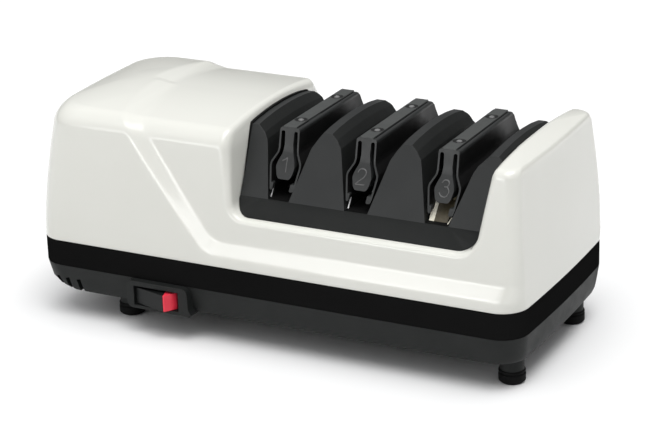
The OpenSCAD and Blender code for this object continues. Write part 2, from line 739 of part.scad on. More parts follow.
// Half section of a disk: radius, and distance from the middle of its stage.
steel_section = [
    [shaft_d / 2 + shaft_clear, 4.4], [hub_r, 4.4], [hub_r, 6.2], [disk_d / 2, 4.6],
    [disk_d / 2, 5.8], [hub_r + 1, 7.5], [hub_r, hub_face], [shaft_d / 2 + shaft_clear, hub_face]
];
polish_section = [
    [shaft_d / 2 + shaft_clear, 3.2], [hub_r, 3.2], [disk_d / 2, 2], [disk_d / 2, 5.4],
    [disk_d / 2 - 0.6, 6], [hub_r + 1, 7.5], [hub_r, hub_face], [shaft_d / 2 + shaft_clear, hub_face]
];

module disk(i, side) {
    slot = pin_at - pin_d / 2 - 0.1;
    translate([stage_x[i], 0, 0]) scale([side, 1, 1]) on_shaft(0) difference() {
        rotate_extrude() polygon(i < 2 ? steel_section : polish_section);
        box([-20, -pin_d / 2 - 0.15, slot], [20, pin_d / 2 + 0.15, hub_face + 1]);
    }
}

module steel_disk(i, side) color([0.66, 0.67, 0.68]) disk(i, side);
module polish_disk(side) color([0.62, 0.55, 0.36]) disk(2, side);

spring_r = 6.4;
spring_wire = 1;
spring_turns = 3.25;
spring_sides = 6;
spring_steps = 14;

// Coil spring between the two disks of a stage.
module disk_spring(i) color("silver") {
    half = spring_end[i] - spring_wire / 2;
    steps = floor(spring_turns * spring_steps);
    translate([stage_x[i], 0, shaft_z]) skin([for (k = [0:steps]) let (
        turn = 360 * k / spring_steps, x = -half + 2 * half * k / steps
    ) [for (j = [0:spring_sides - 1]) let (
        a = -360 * j / spring_sides, r = spring_r + spring_wire / 2 * cos(a)
    ) [x + spring_wire / 2 * sin(a), r * cos(turn), r * sin(turn)]]]);
}

// ---- Dressing lever for the polishing disks ---------------------------------
module dressing_lever() color([0.14, 0.15, 0.15]) {
    box([lever_x - 13, lever_back - 2.4, lever_z - 3.2], [lever_x + 13, lever_back, lever_z + 3.2]);
    box([lever_x - 3, lever_back - 0.1, lever_z - 2.1], [lever_x + 3, body_d / 2 + 2.5, lever_z + 2.1]);
    for (s = [-1, 1]) {
        x = lever_x + s * 11.4;
        box([x - 1.2, 17, lever_z - 2.5], [x + 1.2, lever_back - 2.3, lever_z + 2.5]);
    }
}

module dressing_pads() color([0.35, 0.33, 0.28]) {
    for (s = [-1, 1]) {
        x = lever_x + s * 9.7;
        box([x - 0.5, 17.5, lever_z - 2.3], [x + 0.5, 23.5, lever_z + 2.3]);
    }
}

upper_housing();
trim_band();
lower_housing();
rubber_feet();
slot_tray();
guide_core(0);  // guide_core_1
guide_core(1);  // guide_core_2
guide_core(2);  // guide_core_3
guide_cap(0);  // guide_cap_1
guide_cap(1);  // guide_cap_2
guide_cap(2);  // guide_cap_3
cap_screws();
guide_leaf(0, -1);  // guide_leaf_1_left
guide_leaf(0, 1);  // guide_leaf_1_right
guide_leaf(1, -1);  // guide_leaf_2_left
guide_leaf(1, 1);  // guide_leaf_2_right
guide_leaf(2, -1);  // guide_leaf_3_left
guide_leaf(2, 1);  // guide_leaf_3_right
switch_body();
switch_rocker();
rocker_red_face();
motor_laminations();
coil_bobbin();
coil_winding();
shading_rings();
motor_bracket(-1);  // motor_bracket_left
motor_bracket(1);  // motor_bracket_right
motor_screws();
shaft_bushes();
end_bearing_block();
drive_shaft();
rotor_core();
rotor_end_rings();
cooling_fan();
drive_pins();
steel_disk(0, -1);  // stage_1_disk_left
steel_disk(0, 1);  // stage_1_disk_right
steel_disk(1, -1);  // stage_2_disk_left
steel_disk(1, 1);  // stage_2_disk_right
polish_disk(-1);  // stage_3_disk_left
polish_disk(1);  // stage_3_disk_right
disk_spring(0);  // disk_spring_1
disk_spring(1);  // disk_spring_2
disk_spring(2);  // disk_spring_3
filings_magnet();
clean_out_cover();
dressing_lever();
dressing_pads();
housing_screws();
cord_grommet();
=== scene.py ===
"""Looks of the electric knife sharpener: smooth mouldings, materials, floor, light and camera."""
import json
import math
import bmesh
import bpy
import numpy as np
from mathutils import Matrix, Vector


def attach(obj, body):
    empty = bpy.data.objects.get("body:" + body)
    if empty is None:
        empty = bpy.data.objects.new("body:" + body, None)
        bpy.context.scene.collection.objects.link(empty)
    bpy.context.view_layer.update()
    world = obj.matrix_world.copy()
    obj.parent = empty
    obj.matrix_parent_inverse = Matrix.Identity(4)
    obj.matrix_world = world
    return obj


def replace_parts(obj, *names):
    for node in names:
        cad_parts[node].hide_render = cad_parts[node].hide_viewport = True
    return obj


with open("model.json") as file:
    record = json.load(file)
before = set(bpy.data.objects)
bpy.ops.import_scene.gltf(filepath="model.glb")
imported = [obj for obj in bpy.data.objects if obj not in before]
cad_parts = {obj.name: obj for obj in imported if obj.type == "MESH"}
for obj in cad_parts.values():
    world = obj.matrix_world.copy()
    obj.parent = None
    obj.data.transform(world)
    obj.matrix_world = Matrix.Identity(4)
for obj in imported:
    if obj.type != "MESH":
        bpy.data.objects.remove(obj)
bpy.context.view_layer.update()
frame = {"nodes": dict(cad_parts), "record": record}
MM = 0.001
NODES = frame["nodes"]
SLOT_OF = {s["node"]: s["material_slot"] for s in frame["record"]["subparts"]}


# ---- Materials ---------------------------------------------------------------
def noise(nt, coords, scale, detail=2.0, rough=0.5, stretch=None):
    """A noise texture in object space, stretched along an axis if asked."""
    node = nt.nodes.new("ShaderNodeTexNoise")
    node.inputs["Scale"].default_value = scale
    node.inputs["Detail"].default_value = detail
    node.inputs["Roughness"].default_value = rough
    source = coords.outputs["Object"]
    if stretch:
        mapping = nt.nodes.new("ShaderNodeMapping")
        mapping.inputs["Scale"].default_value = stretch
        nt.links.new(source, mapping.inputs["Vector"])
        source = mapping.outputs["Vector"]
    nt.links.new(source, node.inputs["Vector"])
    return node.outputs["Fac"]


def spread(nt, value, low, high):
    """Maps a noise's usual range to low to high."""
    node = nt.nodes.new("ShaderNodeMapRange")
    node.inputs["From Min"].default_value = 0.3
    node.inputs["From Max"].default_value = 0.7
    node.inputs["To Min"].default_value = low
    node.inputs["To Max"].default_value = high
    nt.links.new(value, node.inputs["Value"])
    return node.outputs["Result"]


def make_material(name, dark, light, rough, tint_scale, grain, metallic=0.0, specular=0.5,
                  coat=0.0, coat_rough=0.1, stretch=None, ior=1.5):
    """Base colour between two tints, varied roughness, and a fine surface grain (scale, height in mm)."""
    mat = bpy.data.materials.new(name)
    mat.use_nodes = True
    nt = mat.node_tree
    shader = nt.nodes["Principled BSDF"]
    shader.inputs["Metallic"].default_value = metallic
    shader.inputs["IOR"].default_value = ior
    shader.inputs["Specular IOR Level"].default_value = specular
    shader.inputs["Coat Weight"].default_value = coat
    shader.inputs["Coat Roughness"].default_value = coat_rough
    coords = nt.nodes.new("ShaderNodeTexCoord")
    ramp = nt.nodes.new("ShaderNodeValToRGB")
    ramp.color_ramp.elements[0].position = 0.35
    ramp.color_ramp.elements[0].color = (*dark, 1)
    ramp.color_ramp.elements[1].position = 0.65
    ramp.color_ramp.elements[1].color = (*light, 1)
    nt.links.new(noise(nt, coords, tint_scale, 3.0, 0.5, stretch), ramp.inputs["Fac"])
    nt.links.new(ramp.outputs["Color"], shader.inputs["Base Color"])
    wear = noise(nt, coords, tint_scale * 2.3, 4.0, 0.6, stretch)
    nt.links.new(spread(nt, wear, *rough), shader.inputs["Roughness"])
    grain_scale, grain_height = grain
    bump = nt.nodes.new("ShaderNodeBump")
    bump.inputs["Strength"].default_value = 1.0
    bump.inputs["Distance"].default_value = grain_height * MM
    nt.links.new(noise(nt, coords, grain_scale, 2.0, 0.5, stretch), bump.inputs["Height"])
    nt.links.new(bump.outputs["Normal"], shader.inputs["Normal"])
    return mat


def grey(v):
    return (v, v, v)


LOOKS = {
    # name: (dark tint, light tint, roughness range, size of the tints, grain), further settings
    "white_shell": (((0.850, 0.850, 0.788), (0.875, 0.875, 0.815), (0.16, 0.22), 9, (900, 0.004)),
        dict(coat=0.35, coat_rough=0.06)),
    "gloss_black": ((grey(0.0088), grey(0.0104), (0.20, 0.28), 14, (700, 0.003)),
        dict(specular=0.0, ior=1.0)),
    "charcoal": (((0.0130, 0.0145, 0.0140), (0.0155, 0.0170, 0.0165), (0.46, 0.58), 40, (3800, 0.02)),
        dict(specular=0.20)),
    "tray_plastic": (((0.022, 0.0235, 0.0235), (0.026, 0.0275, 0.0275), (0.40, 0.52), 45, (3600, 0.016)),
        dict(specular=0.32)),
    "guide_plastic": (((0.024, 0.0255, 0.0255), (0.028, 0.0295, 0.0295), (0.34, 0.46), 60, (3800, 0.012)),
        dict(specular=0.36)),
    "cap_plastic": (((0.060, 0.064, 0.062), (0.068, 0.072, 0.070), (0.34, 0.46), 60, (3800, 0.012)),
        dict(specular=0.4)),
    # Painted shade: a darker copy of the guide plastic for the leaves' side faces, which lie shaded in the
    # deep slots.
    "leaf_side_painted_shade": ((grey(0.0065), grey(0.0085), (0.34, 0.44), 60, (3800, 0.008)), dict(specular=0.3)),
    # Painted highlight: the raised digits are a lighter grey than the guide's plastic, for the light their
    # strokes catch.
    "numeral": ((grey(0.085), grey(0.105), (0.35, 0.45), 200, (3000, 0.004)), {}),
    # Painted shade: a darker copy of the tray plastic, for the apron and the rests' right-facing sides.
    "tray_painted_shade": (((0.0125, 0.0135, 0.0130), (0.0150, 0.0160, 0.0155), (0.46, 0.56), 45, (3600, 0.016)),
        dict(specular=0.18)),
    # Painted highlight: a bright, non-metal strip for the glint along a disk's rim.
    "edge_painted_glint": ((grey(0.86), grey(0.92), (0.25, 0.35), 500, (2500, 0.004)), {}),
    # Painted light and shade: a lit pale copy and a shaded dark copy of the polishing compound for the third
    # stage's disks.
    "compound_painted_lit": (((0.80, 0.76, 0.62), (0.88, 0.84, 0.72), (0.4, 0.5), 500, (2500, 0.01)), {}),
    "compound_painted_shade": (((0.060, 0.048, 0.026), (0.085, 0.070, 0.040), (0.4, 0.5), 500, (2500, 0.01)), {}),
    # Black screw heads made darker than the screws' own black: painted shade of the recesses round them.
    "black_head_and_painted_shade": ((grey(0.006), grey(0.009), (0.4, 0.5), 300, (2500, 0.004)), dict(specular=0.3)),
    # Painted highlight: light grey on the top of each screw head, for the glint it catches.
    "stud_painted_highlight": ((grey(0.17), grey(0.21), (0.28, 0.36), 300, (2500, 0.004)), {}),
    "black_screw": ((grey(0.018), grey(0.03), (0.30, 0.45), 300, (2500, 0.01)), dict(metallic=0.6)),
    "rubber_black": ((grey(0.0032), grey(0.0052), (0.55, 0.75), 90, (2600, 0.03)), dict(specular=0.12)),
    "rocker_black": (((0.0085, 0.0095, 0.0095), (0.0105, 0.0115, 0.0115), (0.36, 0.44), 60, (3400, 0.008)),
        dict(specular=0.2)),
    "rocker_red": (((0.98, 0.032, 0.070), (1.0, 0.042, 0.082), (0.26, 0.34), 60, (3400, 0.006)),
        dict(specular=0.45)),
    "lamination_steel": (((0.27, 0.28, 0.30), (0.40, 0.41, 0.43), (0.32, 0.48), 9, (1, 0.12)),
        dict(metallic=1.0, stretch=(260, 3, 3))),
    "bobbin_plastic": (((0.72, 0.69, 0.60), (0.80, 0.77, 0.68), (0.35, 0.5), 50, (3000, 0.01)), {}),
    "copper_wire": (((0.42, 0.14, 0.05), (0.72, 0.32, 0.14), (0.25, 0.38), 1.5, (1.2, 0.35)),
        dict(metallic=0.85, stretch=(3, 420, 420))),
    "copper_bar": (((0.62, 0.29, 0.15), (0.78, 0.42, 0.25), (0.28, 0.42), 120, (1500, 0.01)),
        dict(metallic=1.0)),
    "zinc_steel": (((0.50, 0.51, 0.50), (0.62, 0.62, 0.60), (0.28, 0.42), 150, (1800, 0.008)),
        dict(metallic=1.0)),
    "bronze": (((0.50, 0.33, 0.13), (0.66, 0.46, 0.20), (0.35, 0.5), 400, (3000, 0.015)),
        dict(metallic=1.0)),
    "ground_steel": (((0.56, 0.57, 0.59), (0.66, 0.67, 0.69), (0.20, 0.32), 2, (3, 0.004)),
        dict(metallic=1.0, stretch=(500, 8, 8))),
    "die_cast": (((0.60, 0.61, 0.62), (0.70, 0.71, 0.72), (0.38, 0.52), 120, (1600, 0.02)),
        dict(metallic=1.0)),
    "fan_plastic": ((grey(0.022), grey(0.030), (0.42, 0.55), 60, (3000, 0.012)), {}),
    "abrasive_steel": (((0.42, 0.43, 0.44), (0.62, 0.63, 0.64), (0.35, 0.6), 2600, (5200, 0.05)),
        dict(metallic=1.0)),
    "polish_compound": (((0.34, 0.28, 0.13), (0.46, 0.39, 0.21), (0.5, 0.7), 900, (3000, 0.05)), {}),
    "spring_steel": (((0.38, 0.38, 0.40), (0.52, 0.52, 0.54), (0.22, 0.34), 300, (1500, 0.004)),
        dict(metallic=1.0)),
    "magnet": ((grey(0.07), grey(0.11), (0.35, 0.5), 200, (2500, 0.015)), dict(metallic=0.4)),
    "dresser": (((0.22, 0.20, 0.16), (0.38, 0.35, 0.30), (0.6, 0.8), 1800, (3200, 0.06)), {}),
}
MAT = {name: make_material(name, *tints, **settings) for name, (tints, settings) in LOOKS.items()}
for name, obj in NODES.items():
    obj.data.materials.clear()
    obj.data.materials.append(MAT[SLOT_OF[name]])


# ---- Mesh tools --------------------------------------------------------------
def smooth(mesh):
    mesh.polygons.foreach_set("use_smooth", [True] * len(mesh.polygons))


def placed(name, mesh, slot, body, material=None):
    """Puts a mesh in the scene with its material, the slot's own unless another is given, and its body."""
    smooth(mesh)
    obj = bpy.data.objects.new(name, mesh)
    bpy.context.scene.collection.objects.link(obj)
    mesh.materials.clear()
    mesh.materials.append(MAT[material or slot])
    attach(obj, body)
    return obj


def soften_edges(obj, width, segments, angle):
    """Rounds an object's sharp edges (width in mm, angle in degrees)."""
    bevel = obj.modifiers.new("edges", "BEVEL")
    bevel.width = width * MM
    bevel.segments = segments
    bevel.limit_method = "ANGLE"
    bevel.angle_limit = math.radians(angle)
    return bevel


def weigh_normals(obj):
    normals = obj.modifiers.new("normals", "WEIGHTED_NORMAL")
    normals.keep_sharp = True
    normals.weight = 60


def everything(bm):
    return bm.verts[:] + bm.edges[:] + bm.faces[:]


def cut_across(bm, axis, places):
    """Cuts the faces of a mesh at places along an axis, so that it can bend there."""
    normal = Vector((axis == "x", axis == "y", axis == "z"))
    for at in places:
        bmesh.ops.bisect_plane(bm, geom=everything(bm), plane_co=normal * at, plane_no=normal)


APRON_TOP, APRON_BEND, APRON_DROP = 69.5, 3.0, 1.6


def lowered_apron(bm, top):
    """Cuts off the tray's rests, which have pieces of their own, and moves its apron down to the lip."""
    for v in bm.verts:
        v.co.z -= APRON_DROP * MM * min(1, max(0, (APRON_TOP * MM - v.co.z) / (APRON_BEND * MM)))
    bmesh.ops.bisect_plane(bm, geom=everything(bm), plane_co=(0, 0, top * MM), plane_no=(0, 0, 1),
                           clear_outer=True)


def softened(node, width, top=None):
    """A copy of a CAD node with its edges rounded like a moulding's stands for the node."""
    mesh = NODES[node].data.copy()
    bm = bmesh.new()
    bm.from_mesh(mesh)
    bmesh.ops.remove_doubles(bm, verts=bm.verts, dist=2e-6)
    if top:
        lowered_apron(bm, top)
    bmesh.ops.dissolve_limit(bm, angle_limit=math.radians(0.4), verts=bm.verts, edges=bm.edges)
    bm.to_mesh(mesh)
    bm.free()
    obj = placed(node + "_look", mesh, SLOT_OF[node], "housing")
    soften_edges(obj, width, 2, 34).miter_outer = "MITER_ARC"
    weigh_normals(obj)
    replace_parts(obj, node)
    return obj


def rounded(points, steps=5):
    """Closed outline with an arc at each point (x, z, radius)."""
    out = []
    for i, (x, z, r) in enumerate(points):
        p = np.array((x, z), float)
        if not r:
            out.append((x, z))
            continue
        a = np.array(points[i - 1][:2]) - p
        b = np.array(points[(i + 1) % len(points)][:2]) - p
        la, lb = np.linalg.norm(a), np.linalg.norm(b)
        a, b = a / la, b / lb
        half = math.acos(max(-1, min(1, float(a @ b)))) / 2
        cut = min(r / math.tan(half), 0.49 * min(la, lb))
        r = cut * math.tan(half)
        centre = p + (a + b) / np.linalg.norm(a + b) * r / math.sin(half)
        start, end = p + a * cut - centre, p + b * cut - centre
        a0 = math.atan2(start[1], start[0])
        turn = (math.atan2(end[1], end[0]) - a0 + math.pi) % (2 * math.pi) - math.pi
        angles = [a0 + turn * k / steps for k in range(steps + 1)]
        out += [tuple(centre + r * np.array((math.cos(a), math.sin(a)))) for a in angles]
    return out


def mirrored(half):
    return half + [(-x, z, r) for x, z, r in reversed(half)]


def finish_piece(bm, name, slot, body="housing", bevel=0.0, material=None, angle=34):
    """A piece in millimetres becomes an object in metres with slightly rounded edges."""
    bmesh.ops.recalc_face_normals(bm, faces=bm.faces)
    for v in bm.verts:
        v.co *= MM
    mesh = bpy.data.meshes.new(name)
    bm.to_mesh(mesh)
    bm.free()
    obj = placed(name, mesh, slot, body, material)
    if bevel:
        soften_edges(obj, bevel, 3, angle)
    weigh_normals(obj)
    return obj


def slab(outline, front, back, levels=(), axis="y"):
    """A plate seen in outline along an axis; front and back give its two ends at each height."""
    bm = bmesh.new()
    place = (lambda a, b: (a, 0, b)) if axis == "y" else (lambda a, b: (a, b, 0))
    bm.faces.new([bm.verts.new(place(a, b)) for a, b in outline])
    cut_across(bm, "z", levels)
    made = bmesh.ops.extrude_face_region(bm, geom=bm.faces[:])["geom"]
    behind = {v for v in made if isinstance(v, bmesh.types.BMVert)}
    for v in bm.verts:
        if axis == "y":
            v.co.y = back(v.co.z) if v in behind else front(v.co.z)
        else:
            v.co.z = back if v in behind else front
    return bm


def move(bm, x):
    """Moves a mesh to the right by x."""
    for v in bm.verts:
        v.co.x += x


# ---- White shell ---------------------------------------------------------------
# Sizes in millimetres. A level of the shell is given by t, its share of the height above the band, and by
# roll, the share of the way in over the top.
BODY_D, BODY_H, BELT_Z = 109.0, 107.0, 39.4
CROWN, END_HALF = 1.6, 123.4
LEAN_Y, LEAN_L, LEAN_R, LEAN_POWER = 6.2, 6.5, 4.3, 1.6
ROLL_L, ROLL_R = 34.0, 20.0
EDGE_R_LEFT, EDGE_R_RIGHT = 9.0, 4.0
TOP_CROWN, TOP_TILT, TOP_REACH = 2.9, 0.13, 0.855
CORNER_R, CORNER_GROWTH, CORNER_TOP_R = 12.0, 4.0, 7.0
PANEL_STEP, PANEL_DROP = 2.2, 1.7
BEND_LOW, BEND_HIGH, BEND_FINER = 42, 54, 1.6
ROW_LENGTH, TURN_LENGTH = 1.15, 9


def roll_profile(radius):
    """Levels (t, roll) of one section: upright, a tight arc, then a crowned top."""
    span, half = BODY_H - BELT_Z, BODY_D / 2
    upright = np.linspace(0, 1 - (radius + TOP_CROWN) / span, 400)
    a = np.linspace(0, math.pi / 2 - TOP_TILT, 400)[1:]
    arc_in, arc_up = radius * (1 - np.cos(a)), radius * np.sin(a)
    across = np.linspace(arc_in[-1], TOP_REACH * half, 700)[1:]
    share = (across - arc_in[-1]) / (across[-1] - arc_in[-1])
    rise = span * (1 - upright[-1]) - arc_up[-1]
    crowned = upright[-1] + (arc_up[-1] + rise * (1 - (1 - share) ** 2)) / span
    t = np.concatenate([upright, upright[-1] + arc_up / span, crowned])
    return t, np.concatenate([np.zeros(400), arc_in, across]) / half


RIGHT_PROFILE = roll_profile(EDGE_R_RIGHT)


def shell_levels():
    """Levels (t, roll) from the band to the middle of the top, closer where the shape turns."""
    t, roll = roll_profile(EDGE_R_LEFT)
    y = LEAN_Y * t ** LEAN_POWER + BODY_D / 2 * roll
    z = t * (BODY_H - BELT_Z)
    dy, dz = np.diff(y), np.diff(z)
    turn = np.abs(np.diff(np.unwrap(np.arctan2(dz, dy)), prepend=math.pi / 2))
    zm = BELT_Z + z[1:]
    fine = np.where((zm > BEND_LOW) & (zm < BEND_HIGH), BEND_FINER, 1.0)
    cost = np.concatenate([[0], np.cumsum(np.hypot(dy, dz) * fine + TURN_LENGTH * turn)])
    rows = int(cost[-1] / ROW_LENGTH)
    pick = np.interp(np.linspace(0, cost[-1], rows + 1), cost, np.arange(len(cost)))
    at = np.arange(len(t))
    return np.interp(pick, at, t), np.interp(pick, at, roll)


def shell_columns():
    """Places along half the outline as (kind, share), from the left end round the front to the right end."""
    front = np.concatenate([np.linspace(0, 0.42, 110)[:-1], np.linspace(0.42, 1, 100)])
    corner = np.linspace(0, 1, 25)
    end = np.linspace(0, 1, 31)
    parts = (("L", end[15:-1]), ("FL", corner[:-1]), ("F", front[:-1]), ("FR", corner[:-1]), ("R", end[:16]))
    return [(kind, s) for kind, shares in parts for s in shares]


def ring(cols, t, roll, inset):
    """Front half of the outline at one level, from the middle of the left end to that of the right end."""
    tight = float(np.interp(t, *RIGHT_PROFILE))
    lean = t ** LEAN_POWER
    b_left, b_right = (BODY_D / 2 - inset - LEAN_Y * lean - (BODY_D / 2 - inset) * k for k in (roll, tight))
    left = END_HALF - LEAN_L * lean - ROLL_L * roll
    right = END_HALF - LEAN_R * lean - ROLL_R * tight
    r_left = min(CORNER_R - inset / 2 + CORNER_GROWTH * lean, 0.8 * b_left)
    r_right = min(CORNER_TOP_R + (CORNER_R - CORNER_TOP_R) * (1 - t) ** 6 - inset / 2, 0.8 * b_right)
    pts = []
    for kind, s in cols:
        b = b_left
        if kind == "L":
            p = (-left, -(b - r_left) * (2 * s - 1))
        elif kind == "FL":
            a = math.pi + s * math.pi / 2
            p = (r_left - left + r_left * math.cos(a), r_left - b + r_left * math.sin(a))
        elif kind == "F":
            x = r_left - left + s * (left + right - r_left - r_right)
            share = min(1, max(0, (x - 20) / 60))
            p = (x, -b - share * share * (3 - 2 * share) * (b_right - b))
            b = b_right if x > 0 else b_left
        else:
            b = b_right
            if kind == "FR":
                a = -math.pi / 2 + s * math.pi / 2
                p = (right - r_right + r_right * math.cos(a), r_right - b + r_right * math.sin(a))
            else:
                p = (right, -(b - r_right) * (1 - 2 * s))
        x = p[0] + math.copysign(CROWN * (1 - min(1, (p[1] / b) ** 2)), p[0])
        pts.append((x, p[1]))
    return pts


SLOPE, SLOPE_MARK = 1.3, 79


def step_edge(cross_x, low, r, over_top):
    """One edge of the step in the front view: level, a bend, a slope, and the turn over the top edge."""
    angle = math.atan(SLOPE)
    meet = cross_x + (SLOPE_MARK - low) / SLOPE
    cx = meet + r * math.tan(angle / 2)
    bend = [(cx + r * math.cos(a), low + r + r * math.sin(a))
            for a in np.linspace(-math.pi / 2, -math.pi / 2 - angle, 14)]
    return np.array([(200, low)] + bend + over_top)


STEP_OUT = step_edge(-58.9, 44, 15, [(-75.9, 101.1), (-78.6, 104.4), (-84, 107), (-98, 113)])
STEP_IN = step_edge(-49.3, 51.2, 10, [(-67.8, 102.6), (-70.3, 104.3), (-73, 105.3), (-81, 109)])
STEP_BACK = 3.5


def side_of(path, x, z):
    """Distance from a path in the front view, above zero on its upper right side."""
    best = np.full(x.shape, 1e9)
    sign = np.ones(x.shape)
    for (x0, z0), (x1, z1) in zip(path[:-1], path[1:]):
        dx, dz = x1 - x0, z1 - z0
        s = np.clip(((x - x0) * dx + (z - z0) * dz) / (dx * dx + dz * dz), 0, 1)
        d = np.hypot(x - x0 - s * dx, z - z0 - s * dz)
        cross = dx * (z - z0) - dz * (x - x0)
        nearer = d < best - 1e-9
        sign = np.where(nearer, np.where(cross > 0, -1.0, 1.0), sign)
        best = np.minimum(best, d)
    return best * sign


def soft_ramp(w, e=0.13):
    """From 0 to 1 with rounded ends."""
    low = (np.clip(w, -e, e) + e) ** 2 / (4 * e)
    high = 1 - (e - np.clip(w - 1, -e, e)) ** 2 / (4 * e)
    return np.where(w < e, low, np.where(w > 1 - e, high, w))


BAY_L, BAY_R, BAY_LOW, BAY_UP = -19.0, 103.0, 62.8, 101.0
BAY_LEAN, BAY_R_LEFT, BAY_R_RIGHT = math.radians(10.6), 7.5, 11
ABOVE = 160


def arc(cx, cz, r, start, end, n):
    return [(cx + r * math.cos(a), cz + r * math.sin(a)) for a in np.linspace(start, end, n)]


def bay_path():
    """Outline of the bay in the front view, down the left wall, along the bottom and up the right wall."""
    left = arc(BAY_L + BAY_R_LEFT, BAY_LOW + BAY_R_LEFT, BAY_R_LEFT, math.pi, 1.5 * math.pi, 20)
    right = arc(BAY_R - BAY_R_RIGHT, BAY_LOW + BAY_R_RIGHT, BAY_R_RIGHT, -math.pi / 2, -BAY_LEAN, 22)
    top_x = BAY_R - 0.2 + (BAY_UP - BAY_LOW - 9) * math.tan(BAY_LEAN)
    bend = [(top_x - 0.35, BAY_UP - 2), (top_x, BAY_UP + 1)]
    return np.array([(BAY_L - 6.0, ABOVE)] + left + right + bend + [(top_x, ABOVE)])


BAY = bay_path()


def bay_distance(x, z):
    """Distance from the bay's outline, above zero outside the bay, and the direction away from it."""
    best = np.full(x.shape, 1e9)
    gx, gz = np.zeros(x.shape), np.zeros(x.shape)
    for (x0, z0), (x1, z1) in zip(BAY[:-1], BAY[1:]):
        dx, dz = x1 - x0, z1 - z0
        s = np.clip(((x - x0) * dx + (z - z0) * dz) / (dx * dx + dz * dz), 0, 1)
        px, pz = x - x0 - s * dx, z - z0 - s * dz
        d = np.hypot(px, pz)
        sign = np.where(dx * pz - dz * px > 0, -1.0, 1.0)
        nearer = d < np.abs(best) - 1e-9
        best = np.where(nearer, d * sign, best)
        length = math.hypot(dx, dz)
        nx, nz = dz / length, -dx / length
        far = d > 1e-6
        gx = np.where(nearer, np.where(far, px * sign / np.maximum(d, 1e-9), nx), gx)
        gz = np.where(nearer, np.where(far, pz * sign / np.maximum(d, 1e-9), nz), gz)
    return best, gx, gz


FILLET, FILLET_LEFT, FILLET_RIGHT, FILLET_FRONT, FILLET_TOP, FILLET_BACK = 2.2, 0.6, 0.8, 0.3, 2.4, 7.0
FILLET_GROWS_FROM, FILLET_GROWS = 72, 30


def bay_radius(gx, n, z):
    """Rounding of the bay's edge: widest high on the left side, small along the bottom lip."""
    high = np.clip((z - FILLET_GROWS_FROM) / FILLET_GROWS, 0, 1)
    front, back = np.clip(-n[..., 1], 0, 1), np.clip(n[..., 1], 0, 1)
    left = FILLET_LEFT + (FILLET_FRONT + FILLET_TOP * high) * front + FILLET_BACK * high * back
    return FILLET + left * np.clip(-gx, 0, 1) ** 2 + FILLET_RIGHT * np.clip(gx, 0, 1) ** 2


def half_shell(cols, t, roll, shift):
    """Front half of the outer surface; shift moves the step to the left."""
    n_half = len(cols)
    block = np.array([ring(cols, a, b, 0) for a, b in zip(t, roll)])
    panel = np.array([ring(cols, a, b, PANEL_STEP) for a, b in zip(t, roll)])
    z_block = np.repeat(BELT_Z + t[:, None] * (BODY_H - BELT_Z), n_half, 1)
    z_panel = np.repeat(BELT_Z + t[:, None] * (BODY_H - PANEL_DROP - BELT_Z), n_half, 1)
    d_out = side_of(STEP_OUT, block[..., 0] + shift, z_block)
    d_in = -side_of(STEP_IN, panel[..., 0] + shift, z_panel)
    total = d_out + d_in
    # How far each point is from the block's surface (0) towards the panel's (1).
    w = np.where(total > 0.2, d_out / np.maximum(total, 0.2), np.where(d_out > 0, 2.0, -1.0))
    w = soft_ramp(w)
    return np.stack([
        block[..., 0] + w * (panel[..., 0] - block[..., 0]),
        block[..., 1] + w * (panel[..., 1] - block[..., 1]),
        z_block + w * (z_panel - z_block),
    ], -1)


def grid_normals(grid):
    """Normals of a closed ring of columns in rows."""
    normal = np.cross(np.roll(grid, -1, 1) - np.roll(grid, 1, 1), np.gradient(grid, axis=0))
    return normal / np.maximum(np.linalg.norm(normal, axis=-1, keepdims=True), 1e-12)


def grid_cells(rows, n):
    """Faces of the grid, and of the strip that closes its top."""
    cells = [(k * n + i, k * n + (i + 1) % n, (k + 1) * n + (i + 1) % n, (k + 1) * n + i)
             for k in range(rows - 1) for i in range(n)]
    top = (rows - 1) * n
    cells += [(top + i, top + i + 1, top + (n - i - 1) % n, top + (n - i) % n) for i in range(1, n // 2 - 1)]
    return cells + [(top, top + 1, top + n - 1), (top + n // 2 - 1, top + n // 2, top + n // 2 + 1)]


def cut_bay(verts, normals, cells):
    """Keeps the faces outside the bay's rounded edge; also gives the loop of points along the cut."""
    places = np.array(verts)
    d, gx, _ = bay_distance(places[:, 0], places[:, 2])
    field = d - bay_radius(gx, np.array(normals), places[:, 2])
    cut, faces, links = {}, [], {}

    def root(a, b):
        key = (min(a, b), max(a, b))
        if key not in cut:
            s = field[a] / (field[a] - field[b])
            cut[key] = len(verts)
            verts.append(verts[a] + s * (verts[b] - verts[a]))
            mixed = normals[a] + s * (normals[b] - normals[a])
            normals.append(mixed / np.linalg.norm(mixed))
        return cut[key]

    for cell in cells:
        outside = [field[v] >= 0 for v in cell]
        if all(outside):
            faces.append(cell)
            continue
        if not any(outside):
            continue
        poly, ends = [], []
        for k, v in enumerate(cell):
            after = cell[(k + 1) % len(cell)]
            if outside[k]:
                poly.append(v)
            if outside[k] != (field[after] >= 0):
                ends.append(root(v, after))
                poly.append(ends[-1])
        if len(poly) > 2:
            faces.append(tuple(poly))
        if len(ends) == 2:
            links.setdefault(ends[0], []).append(ends[1])
            links.setdefault(ends[1], []).append(ends[0])
    loop = [next(iter(links))]
    previous = None
    while True:
        ahead = [v for v in links[loop[-1]] if v != previous]
        previous = loop[-1]
        if not ahead or ahead[0] == loop[0]:
            return faces, loop
        loop.append(ahead[0])


